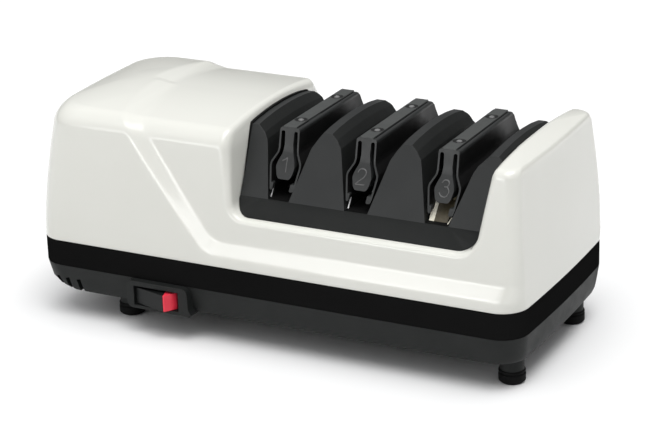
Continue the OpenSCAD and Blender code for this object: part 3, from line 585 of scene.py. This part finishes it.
def round_bay_edge(verts, normals, loop, steps=8):
    """Rounded edge from the outer surface to the bay's wall; gives its faces and its last loop."""
    p = np.array([verts[i] for i in loop])
    nrm = np.array([normals[i] for i in loop])
    _, gx, gz = bay_distance(p[:, 0], p[:, 2])
    r = bay_radius(gx, nrm, p[:, 2])[:, None]
    away = np.stack([gx, np.zeros(len(loop)), gz], -1)
    away -= (away * nrm).sum(1, keepdims=True) * nrm
    away /= np.linalg.norm(away, axis=1, keepdims=True)
    m = len(loop)
    faces, lower = [], loop
    for k in range(1, steps + 1):
        a = math.pi / 2 * k / steps
        q = p - r * nrm + r * (math.cos(a) * nrm - math.sin(a) * away)
        if k == steps:
            dist, hx, hz = bay_distance(q[:, 0], q[:, 2])
            q[:, 0] -= dist * hx
            q[:, 2] -= dist * hz
        upper = list(range(len(verts), len(verts) + m))
        verts.extend(q)
        faces += [(lower[i], lower[(i + 1) % m], upper[(i + 1) % m], upper[i]) for i in range(m)]
        lower = upper
    return faces, lower


WALL_FROM, LIP_DEPTH = 64.6, 5.0


def bay_walls(verts, last):
    """Walls of the bay from front to back; the bottom has only a lip at each side."""
    m = len(last)
    pts = np.array([verts[i] for i in last])
    start = min(range(m), key=lambda i: abs(pts[i][1]) + abs(pts[(i + 1) % m][1]) + (pts[i][0] > 0) * 1e3)
    pairs = [((start - k) % m, (start + 1 + k) % m) for k in range(m // 2)]
    faces = []
    for (a, b), (c, e) in zip(pairs[:-1], pairs[1:]):
        if max(pts[a][2], pts[c][2]) > WALL_FROM:
            faces.append((last[a], last[c], last[e], last[b]))
        else:
            s = len(verts)
            for i in (a, c, e, b):
                verts.append(pts[i] + np.array([0, -math.copysign(LIP_DEPTH, pts[i][1]), 0]))
            faces.append((last[a], last[c], s + 1, s))
            faces.append((last[b], last[e], s + 2, s + 3))
    return faces


def lower_edge(verts, base, normal):
    """Lower edge of the shell, turned in behind the band's joint."""
    n = len(base)
    inward = np.stack([-normal[:, 0], -normal[:, 1], np.zeros(n)], -1)
    faces, outer = [], list(range(n))
    for inset, z in ((0.12, -0.12), (0.35, -0.2), (2.0, -0.2), (2.0, 3.0)):
        inner = list(range(len(verts), len(verts) + n))
        verts.extend(base + inward * inset + np.array([0, 0, z]))
        faces += [(inner[i], inner[(i + 1) % n], outer[(i + 1) % n], outer[i]) for i in range(n)]
        outer = inner
    return faces


def build_shell():
    cols = shell_columns()
    t, roll = shell_levels()
    front, behind = half_shell(cols, t, roll, 0.0), half_shell(cols, t, roll, STEP_BACK)
    # The whole ring: the front half, then the back half mirrored, with the step a little further left.
    whole = np.concatenate([front, behind[:, -2:0:-1] * [1, -1, 1]], 1)
    rows, n, _ = whole.shape
    normal = grid_normals(whole)
    verts, normals = list(whole.reshape(-1, 3)), list(normal.reshape(-1, 3))
    faces, loop = cut_bay(verts, normals, grid_cells(rows, n))
    edge, last = round_bay_edge(verts, normals, loop)
    faces += edge + bay_walls(verts, last) + lower_edge(verts, whole[0], normal[0])
    used = sorted({v for f in faces for v in f})
    index = {v: i for i, v in enumerate(used)}
    mesh = bpy.data.meshes.new("shell")
    mesh.from_pydata([tuple(verts[v] * MM) for v in used], [], [tuple(index[v] for v in f) for f in faces])
    mesh.validate()
    bm = bmesh.new()
    bm.from_mesh(mesh)
    bmesh.ops.remove_doubles(bm, verts=bm.verts, dist=5e-6)
    bmesh.ops.recalc_face_normals(bm, faces=bm.faces)
    bm.to_mesh(mesh)
    bm.free()
    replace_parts(placed("shell", mesh, "white_shell", "housing"), "upper_housing")


build_shell()

# ---- Mouldings with rounded edges -------------------------------------------
softened("trim_band", 0.3)
softened("lower_housing", 0.35)
tray = softened("slot_tray", 0.5, top=70.9)
# Painted shade: the tray's apron gets the darker copy of its plastic.
tray.data.materials[0] = MAT["tray_painted_shade"]
softened("rubber_feet", 0.25)

# ---- Knife rests -------------------------------------------------------------------
REST_LOW, REST_TOP, ARCH_FROM = 70.7, 102.0, 92.0
REST_FOOT_Y, REST_FOOT_Z, REST_LEAN = 41.3, 70.9, 15.8 / 28.3
# Height of a rest's ridge (y, z).
ARCH = np.array([(-24.9, 100.2), (-18.5, 101.1), (-9, 101.8), (-3, 102.0), (6, 102.0), (13, 101.7),
                 (22, 100.9), (30.5, 99.5)])
REST_LEVELS = [75, 80, 85, 90, 92, 94, 96, 98, 100]


def rest_y(z):
    """How far the leaning front of a rest is from the middle at a height."""
    return REST_FOOT_Y - (z - REST_FOOT_Z) * REST_LEAN


def under_arch(z, y):
    """Height of a point of the outline after the ridge has been lowered to the arch at y."""
    if z < ARCH_FROM:
        return z
    top = np.interp(y, ARCH[:, 0], ARCH[:, 1])
    return ARCH_FROM + (z - ARCH_FROM) * (top - ARCH_FROM) / (REST_TOP - ARCH_FROM)


def rest_front(z):
    return -rest_y(under_arch(z, -30))


def rest_back(z):
    return rest_y(under_arch(z, -30)) + min(5.5, 0.12 * (z - 70) + 0.5 * max(0, z - 96))


def rest_piece(name, outline, slot="tray_plastic"):
    """A rest seen in outline on its front face; its ridge then follows the arch."""
    scale = (ARCH[0, 1] - ARCH_FROM) / (REST_TOP - ARCH_FROM)
    high = [(x, z if z < ARCH_FROM else ARCH_FROM + (z - ARCH_FROM) / scale, r) for x, z, r in outline]
    bm = slab(rounded(high), rest_front, rest_back, REST_LEVELS)
    cut_across(bm, "y", np.arange(-24, 30, 3))
    for v in bm.verts:
        v.co.z = under_arch(v.co.z, v.co.y)
    rest = finish_piece(bm, name, slot, bevel=0.24, angle=16)
    # Painted shade: faces of the rests turned to the right get the darker copy of the tray plastic.
    rest.data.materials.append(MAT["tray_painted_shade"])
    for face in rest.data.polygons:
        if slot == "tray_plastic" and face.normal.x > 0.3:
            face.material_index = 1


# Painted shadow: a thin black strip on the bay's wall stands for the shadow in the gap beside the left rest.
rest_piece("rest_painted_gap_shadow", [(-18.9, 80, 0), (-21.0, 99, 0), (-21.0, 100.75, 0), (-19.65, 100.75, 0),
                         (-18.3, 80, 0)], "rubber_black")
rest_piece("rest_left", [(-18.6, REST_LOW, 0), (-19.8, 100.1, 0), (-16.2, 100.2, 0.2), (-12.6, 97.3, 1),
                         (-10.7, 94.7, 1), (-9.85, 92.6, 2), (-4.1, REST_LOW, 0)])
for i, x in enumerate((20.35, 60.0), 1):
    rest_piece(f"rest_{i}", [(x - 14.15, REST_LOW, 0), (x - 8.0, 93.4, 4), (x - 5.7, 97.2, 4),
                             (x - 3.5, 100.2, 0.3), (x + 0.95, 100.2, 0.25), (x + 3.95, 97.9, 3),
                             (x + 6.55, 94.8, 1.5), (x + 14.2, REST_LOW, 0)])
rest_piece("rest_right", [(85.4, REST_LOW, 0), (92.4, 93.0, 2), (94.0, 95.7, 3), (96.4, 98.0, 3),
                          (98.8, 100.2, 0.3), (102.6, 100.2, 0.3), (104.6, 99.0, 0), (103.4, 74.0, 0),
                          (102.4, REST_LOW, 0)])

# ---- Rocker of the switch --------------------------------------------------------
ROCKER_LOW, ROCKER_HIGH, OVERLAP = 14.9, 23.0, 0.02
black = [(-68.8, -56.2, 0.5), (-51.45, -60.7, 0.3), (-53.6, -52.2, 0), (-68.8, -52.2, 0)]
block = slab(rounded(black), ROCKER_LOW, ROCKER_HIGH, axis="z")
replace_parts(finish_piece(block, "rocker_body", "rocker_black", "rocker", 0.25), "switch_rocker")
red = [(-51.4, -60.75, 0.15), (-50.85, -60.72, 0.4), (-47.2, -55.25, 0.3), (-47.2, -52.2, 0),
       (-53.5, -52.2, 0)]
block = slab(rounded(red, 3), ROCKER_LOW - OVERLAP, ROCKER_HIGH + OVERLAP, axis="z")
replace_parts(finish_piece(block, "rocker_red_end", "rocker_red", "rocker", 0.15), "rocker_red_face")

# ---- Knife guides -------------------------------------------------------------------
STAGES = (1.2, 40.5, 79.8)
# How far a guide's leaning end is from the middle (z, y).
PROFILE = np.array([(70, 43.5), (75.2, 38.6), (86, 33.9), (91, 30.7), (101.6, 28.3), (104, 28.0)])
LEVELS = [76, 78, 80, 82, 84, 85, 86, 87, 88, 89.5, 91, 92.5, 94, 97]


def guide_y(z):
    """How far a guide's leaning end is from the middle at a height, with the profile's corners rounded."""
    return float(np.mean([np.interp(z + k, PROFILE[:, 0], PROFILE[:, 1]) for k in (-1.5, -0.5, 0.5, 1.5)]))


def guide_front(out=0.0):
    return lambda z: -guide_y(z) - out


def guide_back(more):
    return lambda z: guide_y(z) + more * min(1, max(0, (z - 76) / 8))


# The front of each guide: a stem and bulb in an arch that carries the leaves, shifted as in the photograph.
SHIFT = (0.35, -0.25, 0.7)
CORE = [(4.98, 101.75, 1.15), (4.98, 98.6, 0), (4.15, 98.6, 0), (4.15, 100.3, 0.8), (2.35, 100.3, 0.8),
        (2.15, 94.5, 4), (2.65, 90.6, 5), (4.2, 87.0, 3), (4.72, 85.0, 2.2), (3.85, 81.4, 4),
        (2.8, 79.7, 1.6)]
LEAF = [(5.01, 99.9, 0), (5.08, 92.6, 4), (5.35, 90.8, 3), (7.75, 86.7, 1.5), (7.85, 85.0, 3), (6.6, 77.4, 3),
        (6.05, 75.2, 0.5), (5.3, 75.2, 0.3), (5.75, 77.6, 3), (7.02, 85.0, 3), (6.92, 86.3, 1.3),
        (4.55, 90.5, 3), (4.24, 92.6, 4), (4.12, 99.9, 0)]
SIDES = {-1: "left", 1: "right"}
FOOT = {1: [(6.1, 78.1, 0.2), (3.9, 77.9, 0.3), (3.7, 75.2, 0.25), (4.3, 74.8, 0.25), (5.9, 75.0, 0.3)],
        -1: [(6.1, 78.1, 0.2), (4.7, 77.7, 0.3), (4.9, 75.2, 0.25), (5.2, 74.8, 0.25), (5.9, 75.0, 0.3)]}
LEAF_BENDS_FROM, LEAF_BEND, LEAF_BEND_LENGTH = 20, 1.5, 13
SCREW_Y = (-17.4, 19.0)
CAP_TOP = 102.45


def groove_piece(i, g, y0, y1):
    """Black strip on each side of the cap: painted shade of the groove there."""
    for side, word in SIDES.items():
        a, b = sorted((side * 3.22, side * 3.62))
        bm = slab([(a, 101.3), (b, 101.3), (b, 101.82), (a, 101.82)], lambda z: y0, lambda z: y1)
        move(bm, g)
        finish_piece(bm, f"guide_{i}_groove_{word}_{round(y1)}", "rubber_black")


def round_back(bm, high, y0, r):
    """Rounds the upper corner of a guide's back end in side view."""
    cut_across(bm, "y", (y0 - r * 0.5, y0, y0 + 0.3 * r, y0 + 0.6 * r, y0 + 0.85 * r))
    for v in bm.verts:
        if v.co.y > y0 and v.co.z > high - r:
            limit = high - r + math.sqrt(max(0, r * r - min(r, v.co.y - y0) ** 2))
            v.co.z = min(v.co.z, limit)


def leaf_piece(i, g, side):
    """A sprung leaf, whose back end bends outward, more so lower down, and the foot at its front."""
    bm = slab(rounded(LEAF), guide_front(0.03), guide_back(4.5), LEVELS)
    cut_across(bm, "y", (20, 23, 26, 29, 32))
    for v in bm.verts:
        along = max(0, v.co.y - LEAF_BENDS_FROM) / LEAF_BEND_LENGTH
        v.co.x += LEAF_BEND * along ** 2 * min(1, max(0, (99.5 - v.co.z) / 8))
    foot = slab(rounded(FOOT[side]), guide_front(0.0), lambda z: -guide_y(z) + 2.4, (76, 77))
    for part in (bm, foot):
        for v in part.verts:
            v.co.x = g + side * v.co.x
    name = SIDES[side]
    leaf = finish_piece(bm, f"guide_{i}_leaf_{name}", "guide_plastic", f"leaf {i} {name}", 0.2)
    # Painted shade: faces turned sideways get the darker copy of the guide plastic.
    leaf.data.materials.append(MAT["leaf_side_painted_shade"])
    for face in leaf.data.polygons:
        face.material_index = 1 if abs(face.normal.y) < 0.5 else 0
    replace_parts(leaf, f"guide_leaf_{i}_{name}")
    finish_piece(foot, f"guide_{i}_foot_{name}", "guide_plastic", f"leaf {i} {name}", 0.15)


CAP_Y0, CAP_Y1, CAP_HALF, CAP_SKIRT = -28.1, 30.6, 3.2, 100.2
RECESS_R, RECESS_DEPTH = 3.05, 0.75


def cap_piece(i, g):
    """Strip on a guide's top with a round recess for each screw; the first has a shallow dent."""
    bm = bmesh.new()
    half, n = CAP_HALF, 12
    xs = np.linspace(-half, half, n + 1)
    known = {}

    def vert(x, y, z):
        key = (round(x, 4), round(y, 4), round(z, 4))
        if key not in known:
            known[key] = bm.verts.new((x, y, z))
        return known[key]

    def top(x, y):
        dent = 0.3 * math.exp(-((x + 0.4) / 1.1) ** 2 - ((y + 3.5) / 4.0) ** 2) if i == 1 else 0
        return CAP_TOP - dent

    def strip(y0, y1, rows):
        ys = np.linspace(y0, y1, rows + 1)
        for a, b in zip(ys[:-1], ys[1:]):
            for c, d in zip(xs[:-1], xs[1:]):
                corners = ((c, a), (d, a), (d, b), (c, b))
                bm.faces.new([vert(x, y, top(x, y)) for x, y in corners])

    strip(CAP_Y0, SCREW_Y[0] - half, 8)
    strip(SCREW_Y[0] + half, SCREW_Y[1] - half, 28)
    strip(SCREW_Y[1] + half, CAP_Y1, 8)
    for yc in SCREW_Y:
        edge = [(x, -half) for x in xs[:-1]] + [(half, y) for y in xs[:-1]]
        edge += [(x, half) for x in xs[:0:-1]] + [(-half, y) for y in xs[:0:-1]]
        rings = [[vert(x, yc + y, CAP_TOP) for x, y in edge]]
        floor_z = CAP_TOP - RECESS_DEPTH
        for r, z in ((RECESS_R, CAP_TOP), (RECESS_R - 0.1, floor_z), (0.4, floor_z)):
            angles = [-3 * math.pi / 4 + 2 * math.pi * k / (4 * n) for k in range(4 * n)]
            rings.append([bm.verts.new((r * math.cos(a), yc + r * math.sin(a), z)) for a in angles])
        for inner, outer in zip(rings[1:], rings[:-1]):
            for k in range(4 * n):
                j = (k + 1) % (4 * n)
                bm.faces.new([outer[k], outer[j], inner[j], inner[k]])
        bm.faces.new(rings[-1])
    rim = [e for e in bm.edges if e.is_boundary]
    made = bmesh.ops.extrude_edge_only(bm, edges=rim)["geom"]
    low = [v for v in made if isinstance(v, bmesh.types.BMVert)]
    for v in low:
        v.co.z = CAP_SKIRT
        v.co.y += -0.15 if v.co.y < -28 else (0.15 if v.co.y > 30 else 0)
    move(bm, g)
    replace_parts(finish_piece(bm, f"guide_{i}_cap", "cap_plastic", bevel=0.28), f"guide_cap_{i}")


def turned(name, places, section, slot, material, segments=40):
    """Round pieces turned from one section (radius, z), one at each place."""
    verts, faces = [], []
    for x, y in places:
        start = len(verts)
        for r, z in section:
            verts += [((x + r * math.cos(a)) * MM, (y + r * math.sin(a)) * MM, z * MM)
                      for a in np.linspace(0, 2 * math.pi, segments, endpoint=False)]
        for k in range(len(section) - 1):
            a, b = start + k * segments, start + (k + 1) * segments
            faces += [(a + j, a + (j + 1) % segments, b + (j + 1) % segments, b + j) for j in range(segments)]
        faces.append(tuple(start + (len(section) - 1) * segments + j for j in range(segments)))
    mesh = bpy.data.meshes.new(name)
    mesh.from_pydata(verts, [], faces)
    mesh.validate()
    obj = placed(name, mesh, slot, "housing", material)
    soften_edges(obj, 0.08, 2, 30)
    return obj


def smooth_line(points):
    """A smooth line through points."""
    p = np.array(points, float)
    padded = np.vstack([2 * p[0] - p[1], p, 2 * p[-1] - p[-2]])
    line = []
    for k in range(1, len(padded) - 2):
        a, b, c, d = padded[k - 1:k + 3]
        for u in np.linspace(0, 1, 7)[:-1]:
            line.append(0.5 * (2 * b + (c - a) * u + (2 * a - 5 * b + 4 * c - d) * u ** 2
                               + (3 * b - a - 3 * c + d) * u ** 3))
    return np.array(line + [p[-1]])


STROKE = ((-0.30, -0.05), (-0.22, 0.14), (0, 0.2), (0.22, 0.14), (0.30, -0.05))


def numeral(i, g, strokes):
    """Thin raised digit on the front of a guide; STROKE is its section (across, out)."""
    bm = bmesh.new()
    for stroke in strokes:
        line = smooth_line(stroke)
        along = np.gradient(line, axis=0)
        along /= np.linalg.norm(along, axis=1, keepdims=True)
        rows = []
        for (x, z), (ax, az) in zip(line, along):
            rows.append([bm.verts.new((g + x + az * w, -guide_y(z - ax * w) - out, z - ax * w))
                         for w, out in STROKE])
        for a, b in zip(rows[:-1], rows[1:]):
            for k in range(4):
                bm.faces.new([a[k], a[k + 1], b[k + 1], b[k]])
        bm.faces.new(rows[0])
        bm.faces.new(rows[-1])
    # The digit's lighter grey is a painted highlight.
    finish_piece(bm, f"guide_{i}_numeral", "guide_plastic", material="numeral")


DIGITS = (
    [[(-1.9, 87.4), (-0.9, 87.9), (0.25, 88.7)], [(0.25, 88.7), (0.4, 86.8), (0.5, 85.0), (0.6, 82.6)]],
    [[(-2.3, 87.1), (-1.85, 88.0), (-0.7, 88.65), (1.0, 88.25), (1.7, 87.15), (1.45, 86.15), (0.65, 85.05),
      (-1.05, 83.7), (-2.8, 82.2)], [(-2.8, 82.2), (-0.4, 82.2), (1.7, 82.25)]],
    [[(-1.6, 87.6), (-0.6, 88.75), (1.0, 88.8), (1.9, 87.7), (1.2, 86.45), (-0.1, 86.2)],
     [(1.2, 86.45), (2.0, 85.4), (2.35, 84.2), (1.6, 82.7), (0.4, 82.15), (-1.1, 82.5), (-2.2, 83.7)]],
)
for i, (stage, shift) in enumerate(zip(STAGES, SHIFT), 1):
    g = stage + shift
    bm = slab(rounded(mirrored(CORE), 6), guide_front(), guide_back(4.4), LEVELS)
    round_back(bm, 101.75, 30.3, 2.4)
    move(bm, g)
    core = finish_piece(bm, f"guide_{i}_core", "guide_plastic", bevel=0.2)
    # The grooves stop beside the dent in the first cap.
    for y0, y1 in ((-26.2, -16.6), (-4.2, 29.0)) if i == 1 else ((-26.2, 29.0),):
        groove_piece(i, g, y0, y1)
    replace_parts(core, f"guide_core_{i}")
    cap_piece(i, g)
    for side in SIDES:
        leaf_piece(i, g, side)
    numeral(i, g, DIGITS[i - 1])
places = [(g + shift, y) for g, shift in zip(STAGES, SHIFT) for y in SCREW_Y]
HEAD = [(2.92, 101.65), (2.88, 102.1), (2.5, 102.16), (1.25, 102.1)]
STUD = [(1.4, 102.0), (1.2, 102.5), (0.7, 102.72), (0.25, 102.78)]
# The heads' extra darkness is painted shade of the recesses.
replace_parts(turned("cap_screw_heads", places, HEAD, "black_screw", "black_head_and_painted_shade"), "cap_screws")
# Painted highlight: the studs' light grey stands for the glint on the screw heads.
turned("cap_screw_studs", places, STUD, "black_screw", "stud_painted_highlight")


# ---- Openings under the guides ------------------------------------------------
def strip_of(name, corners, slot, material=None, thick=0.3):
    """A thin strip between corners given in order round it, in millimetres."""
    p = np.array(corners, float)
    normal = np.cross(p[1] - p[0], p[2] - p[0])
    normal /= np.linalg.norm(normal)
    bm = bmesh.new()
    face = bm.faces.new([bm.verts.new(v) for v in p])
    made = bmesh.ops.extrude_face_region(bm, geom=[face])["geom"]
    for v in made:
        if isinstance(v, bmesh.types.BMVert):
            v.co -= Vector(normal) * thick * (1 if normal[1] < 0 else -1)
    finish_piece(bm, name, slot, bevel=0.06, material=material)


OPENING_Z = 71.05
# Rims of the disks as the photograph shows them: piece, corners from the guide's middle, slot and material.
# Painted light: the materials paint a glint on a rim's edge, and lit and shaded parts of the polishing disks.
RIM = [("edge_strip", [(-7.3, -29.4, 78.6), (-6.5, -29.4, 78.6), (-5.1, -38.6, 71.3), (-5.7, -38.6, 71.3)],
        "ground_steel", "edge_painted_glint")]
# Painted light and shade on the third stage: a lit strip, a shaded face and a lit edge line.
RIM_3 = [("edge_strip", [(-6.6, -28.9, 79.2), (-3.6, -28.9, 78.6), (-2.6, -38.2, 71.3), (-5.0, -38.2, 71.3)],
          "polish_compound", "compound_painted_lit"),
         ("edge_face", [(-3.4, -28.7, 78.6), (4.2, -28.7, 78.6), (3.6, -38.0, 71.2), (-2.6, -38.0, 71.2)],
          "polish_compound", "compound_painted_shade"),
         ("edge_line", [(5.0, -36.4, 73.4), (5.5, -36.4, 73.4), (4.7, -39.4, 71.2), (4.2, -39.4, 71.2)],
          "polish_compound", "compound_painted_lit")]
for i, g in enumerate(STAGES, 1):
    # Painted shade: a thin black sheet stands for the shade deep in the opening, in front of and behind the
    # disks.
    for side, word in ((-1, "front"), (1, "back")):
        y0, y1 = sorted((side * 40.9, side * 15.6))
        strip_of(f"opening_{i}_{word}", [(g - 5.2, y0, OPENING_Z), (g + 5.2, y0, OPENING_Z),
                                         (g + 4.9, y1, OPENING_Z), (g - 4.9, y1, OPENING_Z)],
                 "rubber_black", thick=0.1)
    for name, corners, slot, material in RIM_3 if i == 3 else RIM:
        strip_of(f"{name}_{i}", [(g + x, y, z) for x, y, z in corners], slot, material)


# ---- Floor, light and camera -------------------------------------------------
def make_floor():
    mat = bpy.data.materials.new("floor")
    mat.use_nodes = True
    nt = mat.node_tree
    shader = nt.nodes["Principled BSDF"]
    shader.inputs["Roughness"].default_value = 0.9
    shader.inputs["Specular IOR Level"].default_value = 0.0
    path = nt.nodes.new("ShaderNodeLightPath")
    seen = nt.nodes.new("ShaderNodeMath")
    seen.operation = "MAXIMUM"
    either = nt.nodes.new("ShaderNodeMath")
    either.operation = "MAXIMUM"
    nt.links.new(path.outputs["Is Camera Ray"], seen.inputs[0])
    nt.links.new(path.outputs["Is Glossy Ray"], either.inputs[0])
    nt.links.new(path.outputs["Is Transmission Ray"], either.inputs[1])
    nt.links.new(either.outputs[0], seen.inputs[1])
    mix = nt.nodes.new("ShaderNodeMix")
    mix.data_type = "RGBA"
    mix.inputs["A"].default_value = (0.70, 0.70, 0.70, 1)
    mix.inputs["B"].default_value = (1, 1, 1, 1)
    nt.links.new(seen.outputs[0], mix.inputs["Factor"])
    nt.links.new(mix.outputs["Result"], shader.inputs["Base Color"])
    bpy.ops.mesh.primitive_plane_add(size=12, location=(0, 0, 0))
    floor = bpy.context.object
    floor.name = "floor"
    floor.data.materials.append(mat)


def make_world(strength):
    """A white studio, brightest overhead and falling off towards the horizon."""
    world = bpy.data.worlds.new("studio")
    bpy.context.scene.world = world
    world.use_nodes = True
    nt = world.node_tree
    back = nt.nodes["Background"]
    back.inputs["Color"].default_value = (0.985, 0.99, 1.0, 1)
    split = nt.nodes.new("ShaderNodeSeparateXYZ")
    nt.links.new(nt.nodes.new("ShaderNodeTexCoord").outputs["Generated"], split.inputs[0])
    fall = nt.nodes.new("ShaderNodeMapRange")
    fall.inputs["To Max"].default_value = strength
    nt.links.new(split.outputs["Z"], fall.inputs["Value"])
    nt.links.new(fall.outputs["Result"], back.inputs["Strength"])
    seen = nt.nodes.new("ShaderNodeBackground")
    seen.inputs["Color"].default_value = (1, 1, 1, 1)
    seen.inputs["Strength"].default_value = 1.0
    path = nt.nodes.new("ShaderNodeLightPath")
    mix = nt.nodes.new("ShaderNodeMixShader")
    nt.links.new(path.outputs["Is Camera Ray"], mix.inputs["Fac"])
    nt.links.new(back.outputs[0], mix.inputs[1])
    nt.links.new(seen.outputs[0], mix.inputs[2])
    nt.links.new(mix.outputs[0], nt.nodes["World Output"].inputs["Surface"])


def make_sun(name, toward, strength, angle):
    """A wide, soft sun that shines from the direction toward."""
    light = bpy.data.lights.new(name, "SUN")
    light.energy = strength
    light.angle = math.radians(angle)
    obj = bpy.data.objects.new(name, light)
    obj.rotation_euler = Vector(toward).to_track_quat("Z", "Y").to_euler()
    bpy.context.scene.collection.objects.link(obj)


def make_softbox(name, place, width, height, radiance, only_glossy=False):
    """A panel of light in front that faces the object."""
    light = bpy.data.lights.new(name, "AREA")
    light.shape = "RECTANGLE"
    light.size = width
    light.size_y = height
    light.energy = radiance * math.pi * width * height
    obj = bpy.data.objects.new(name, light)
    facing = (Vector(place) - Vector((0, 0, 0.08))).to_track_quat("Z", "Y").to_matrix().to_4x4()
    obj.matrix_world = Matrix.Translation(place) @ facing
    obj.visible_camera = False
    obj.visible_diffuse = not only_glossy
    bpy.context.scene.collection.objects.link(obj)


def make_camera():
    """The photograph's viewpoint: right, up and backward directions of the camera, and its place."""
    camera = bpy.data.cameras.new("camera")
    camera.sensor_width = 36
    camera.sensor_fit = "HORIZONTAL"
    camera.lens = 124.38
    view = bpy.data.objects.new("camera", camera)
    right = Vector((0.89235281, 0.45047829, -0.02785265))
    up = Vector((-0.13810998, 0.33129131, 0.93336579))
    back = Vector((0.42968837, -0.82904486, 0.35784427))
    turn = Matrix((right, up, back)).transposed().to_4x4()
    view.matrix_world = Matrix.Translation((0.47601413, -0.90218981, 0.43864955)) @ turn
    bpy.context.scene.collection.objects.link(view)
    bpy.context.scene.camera = view


make_floor()
make_world(0.80)
make_sun("key", (0.15, -0.35, 1.0), 1.02, 40)
make_sun("overhead", (0.25, 0.0, 1.0), 0.78, 30)
make_sun("left", (-0.6, -0.7, 0.5), 0.26, 50)
make_softbox("front", (-0.27, -1.24, 0.37), 0.68, 0.72, 0.56)
make_softbox("highlight high", (-0.52, -1.10, 0.30), 0.42, 0.24, 3.2, True)
make_softbox("highlight low", (-0.28, -1.24, 0.14), 0.50, 0.20, 5.0, True)
make_camera()
bpy.context.scene.view_settings.view_transform = "Standard"
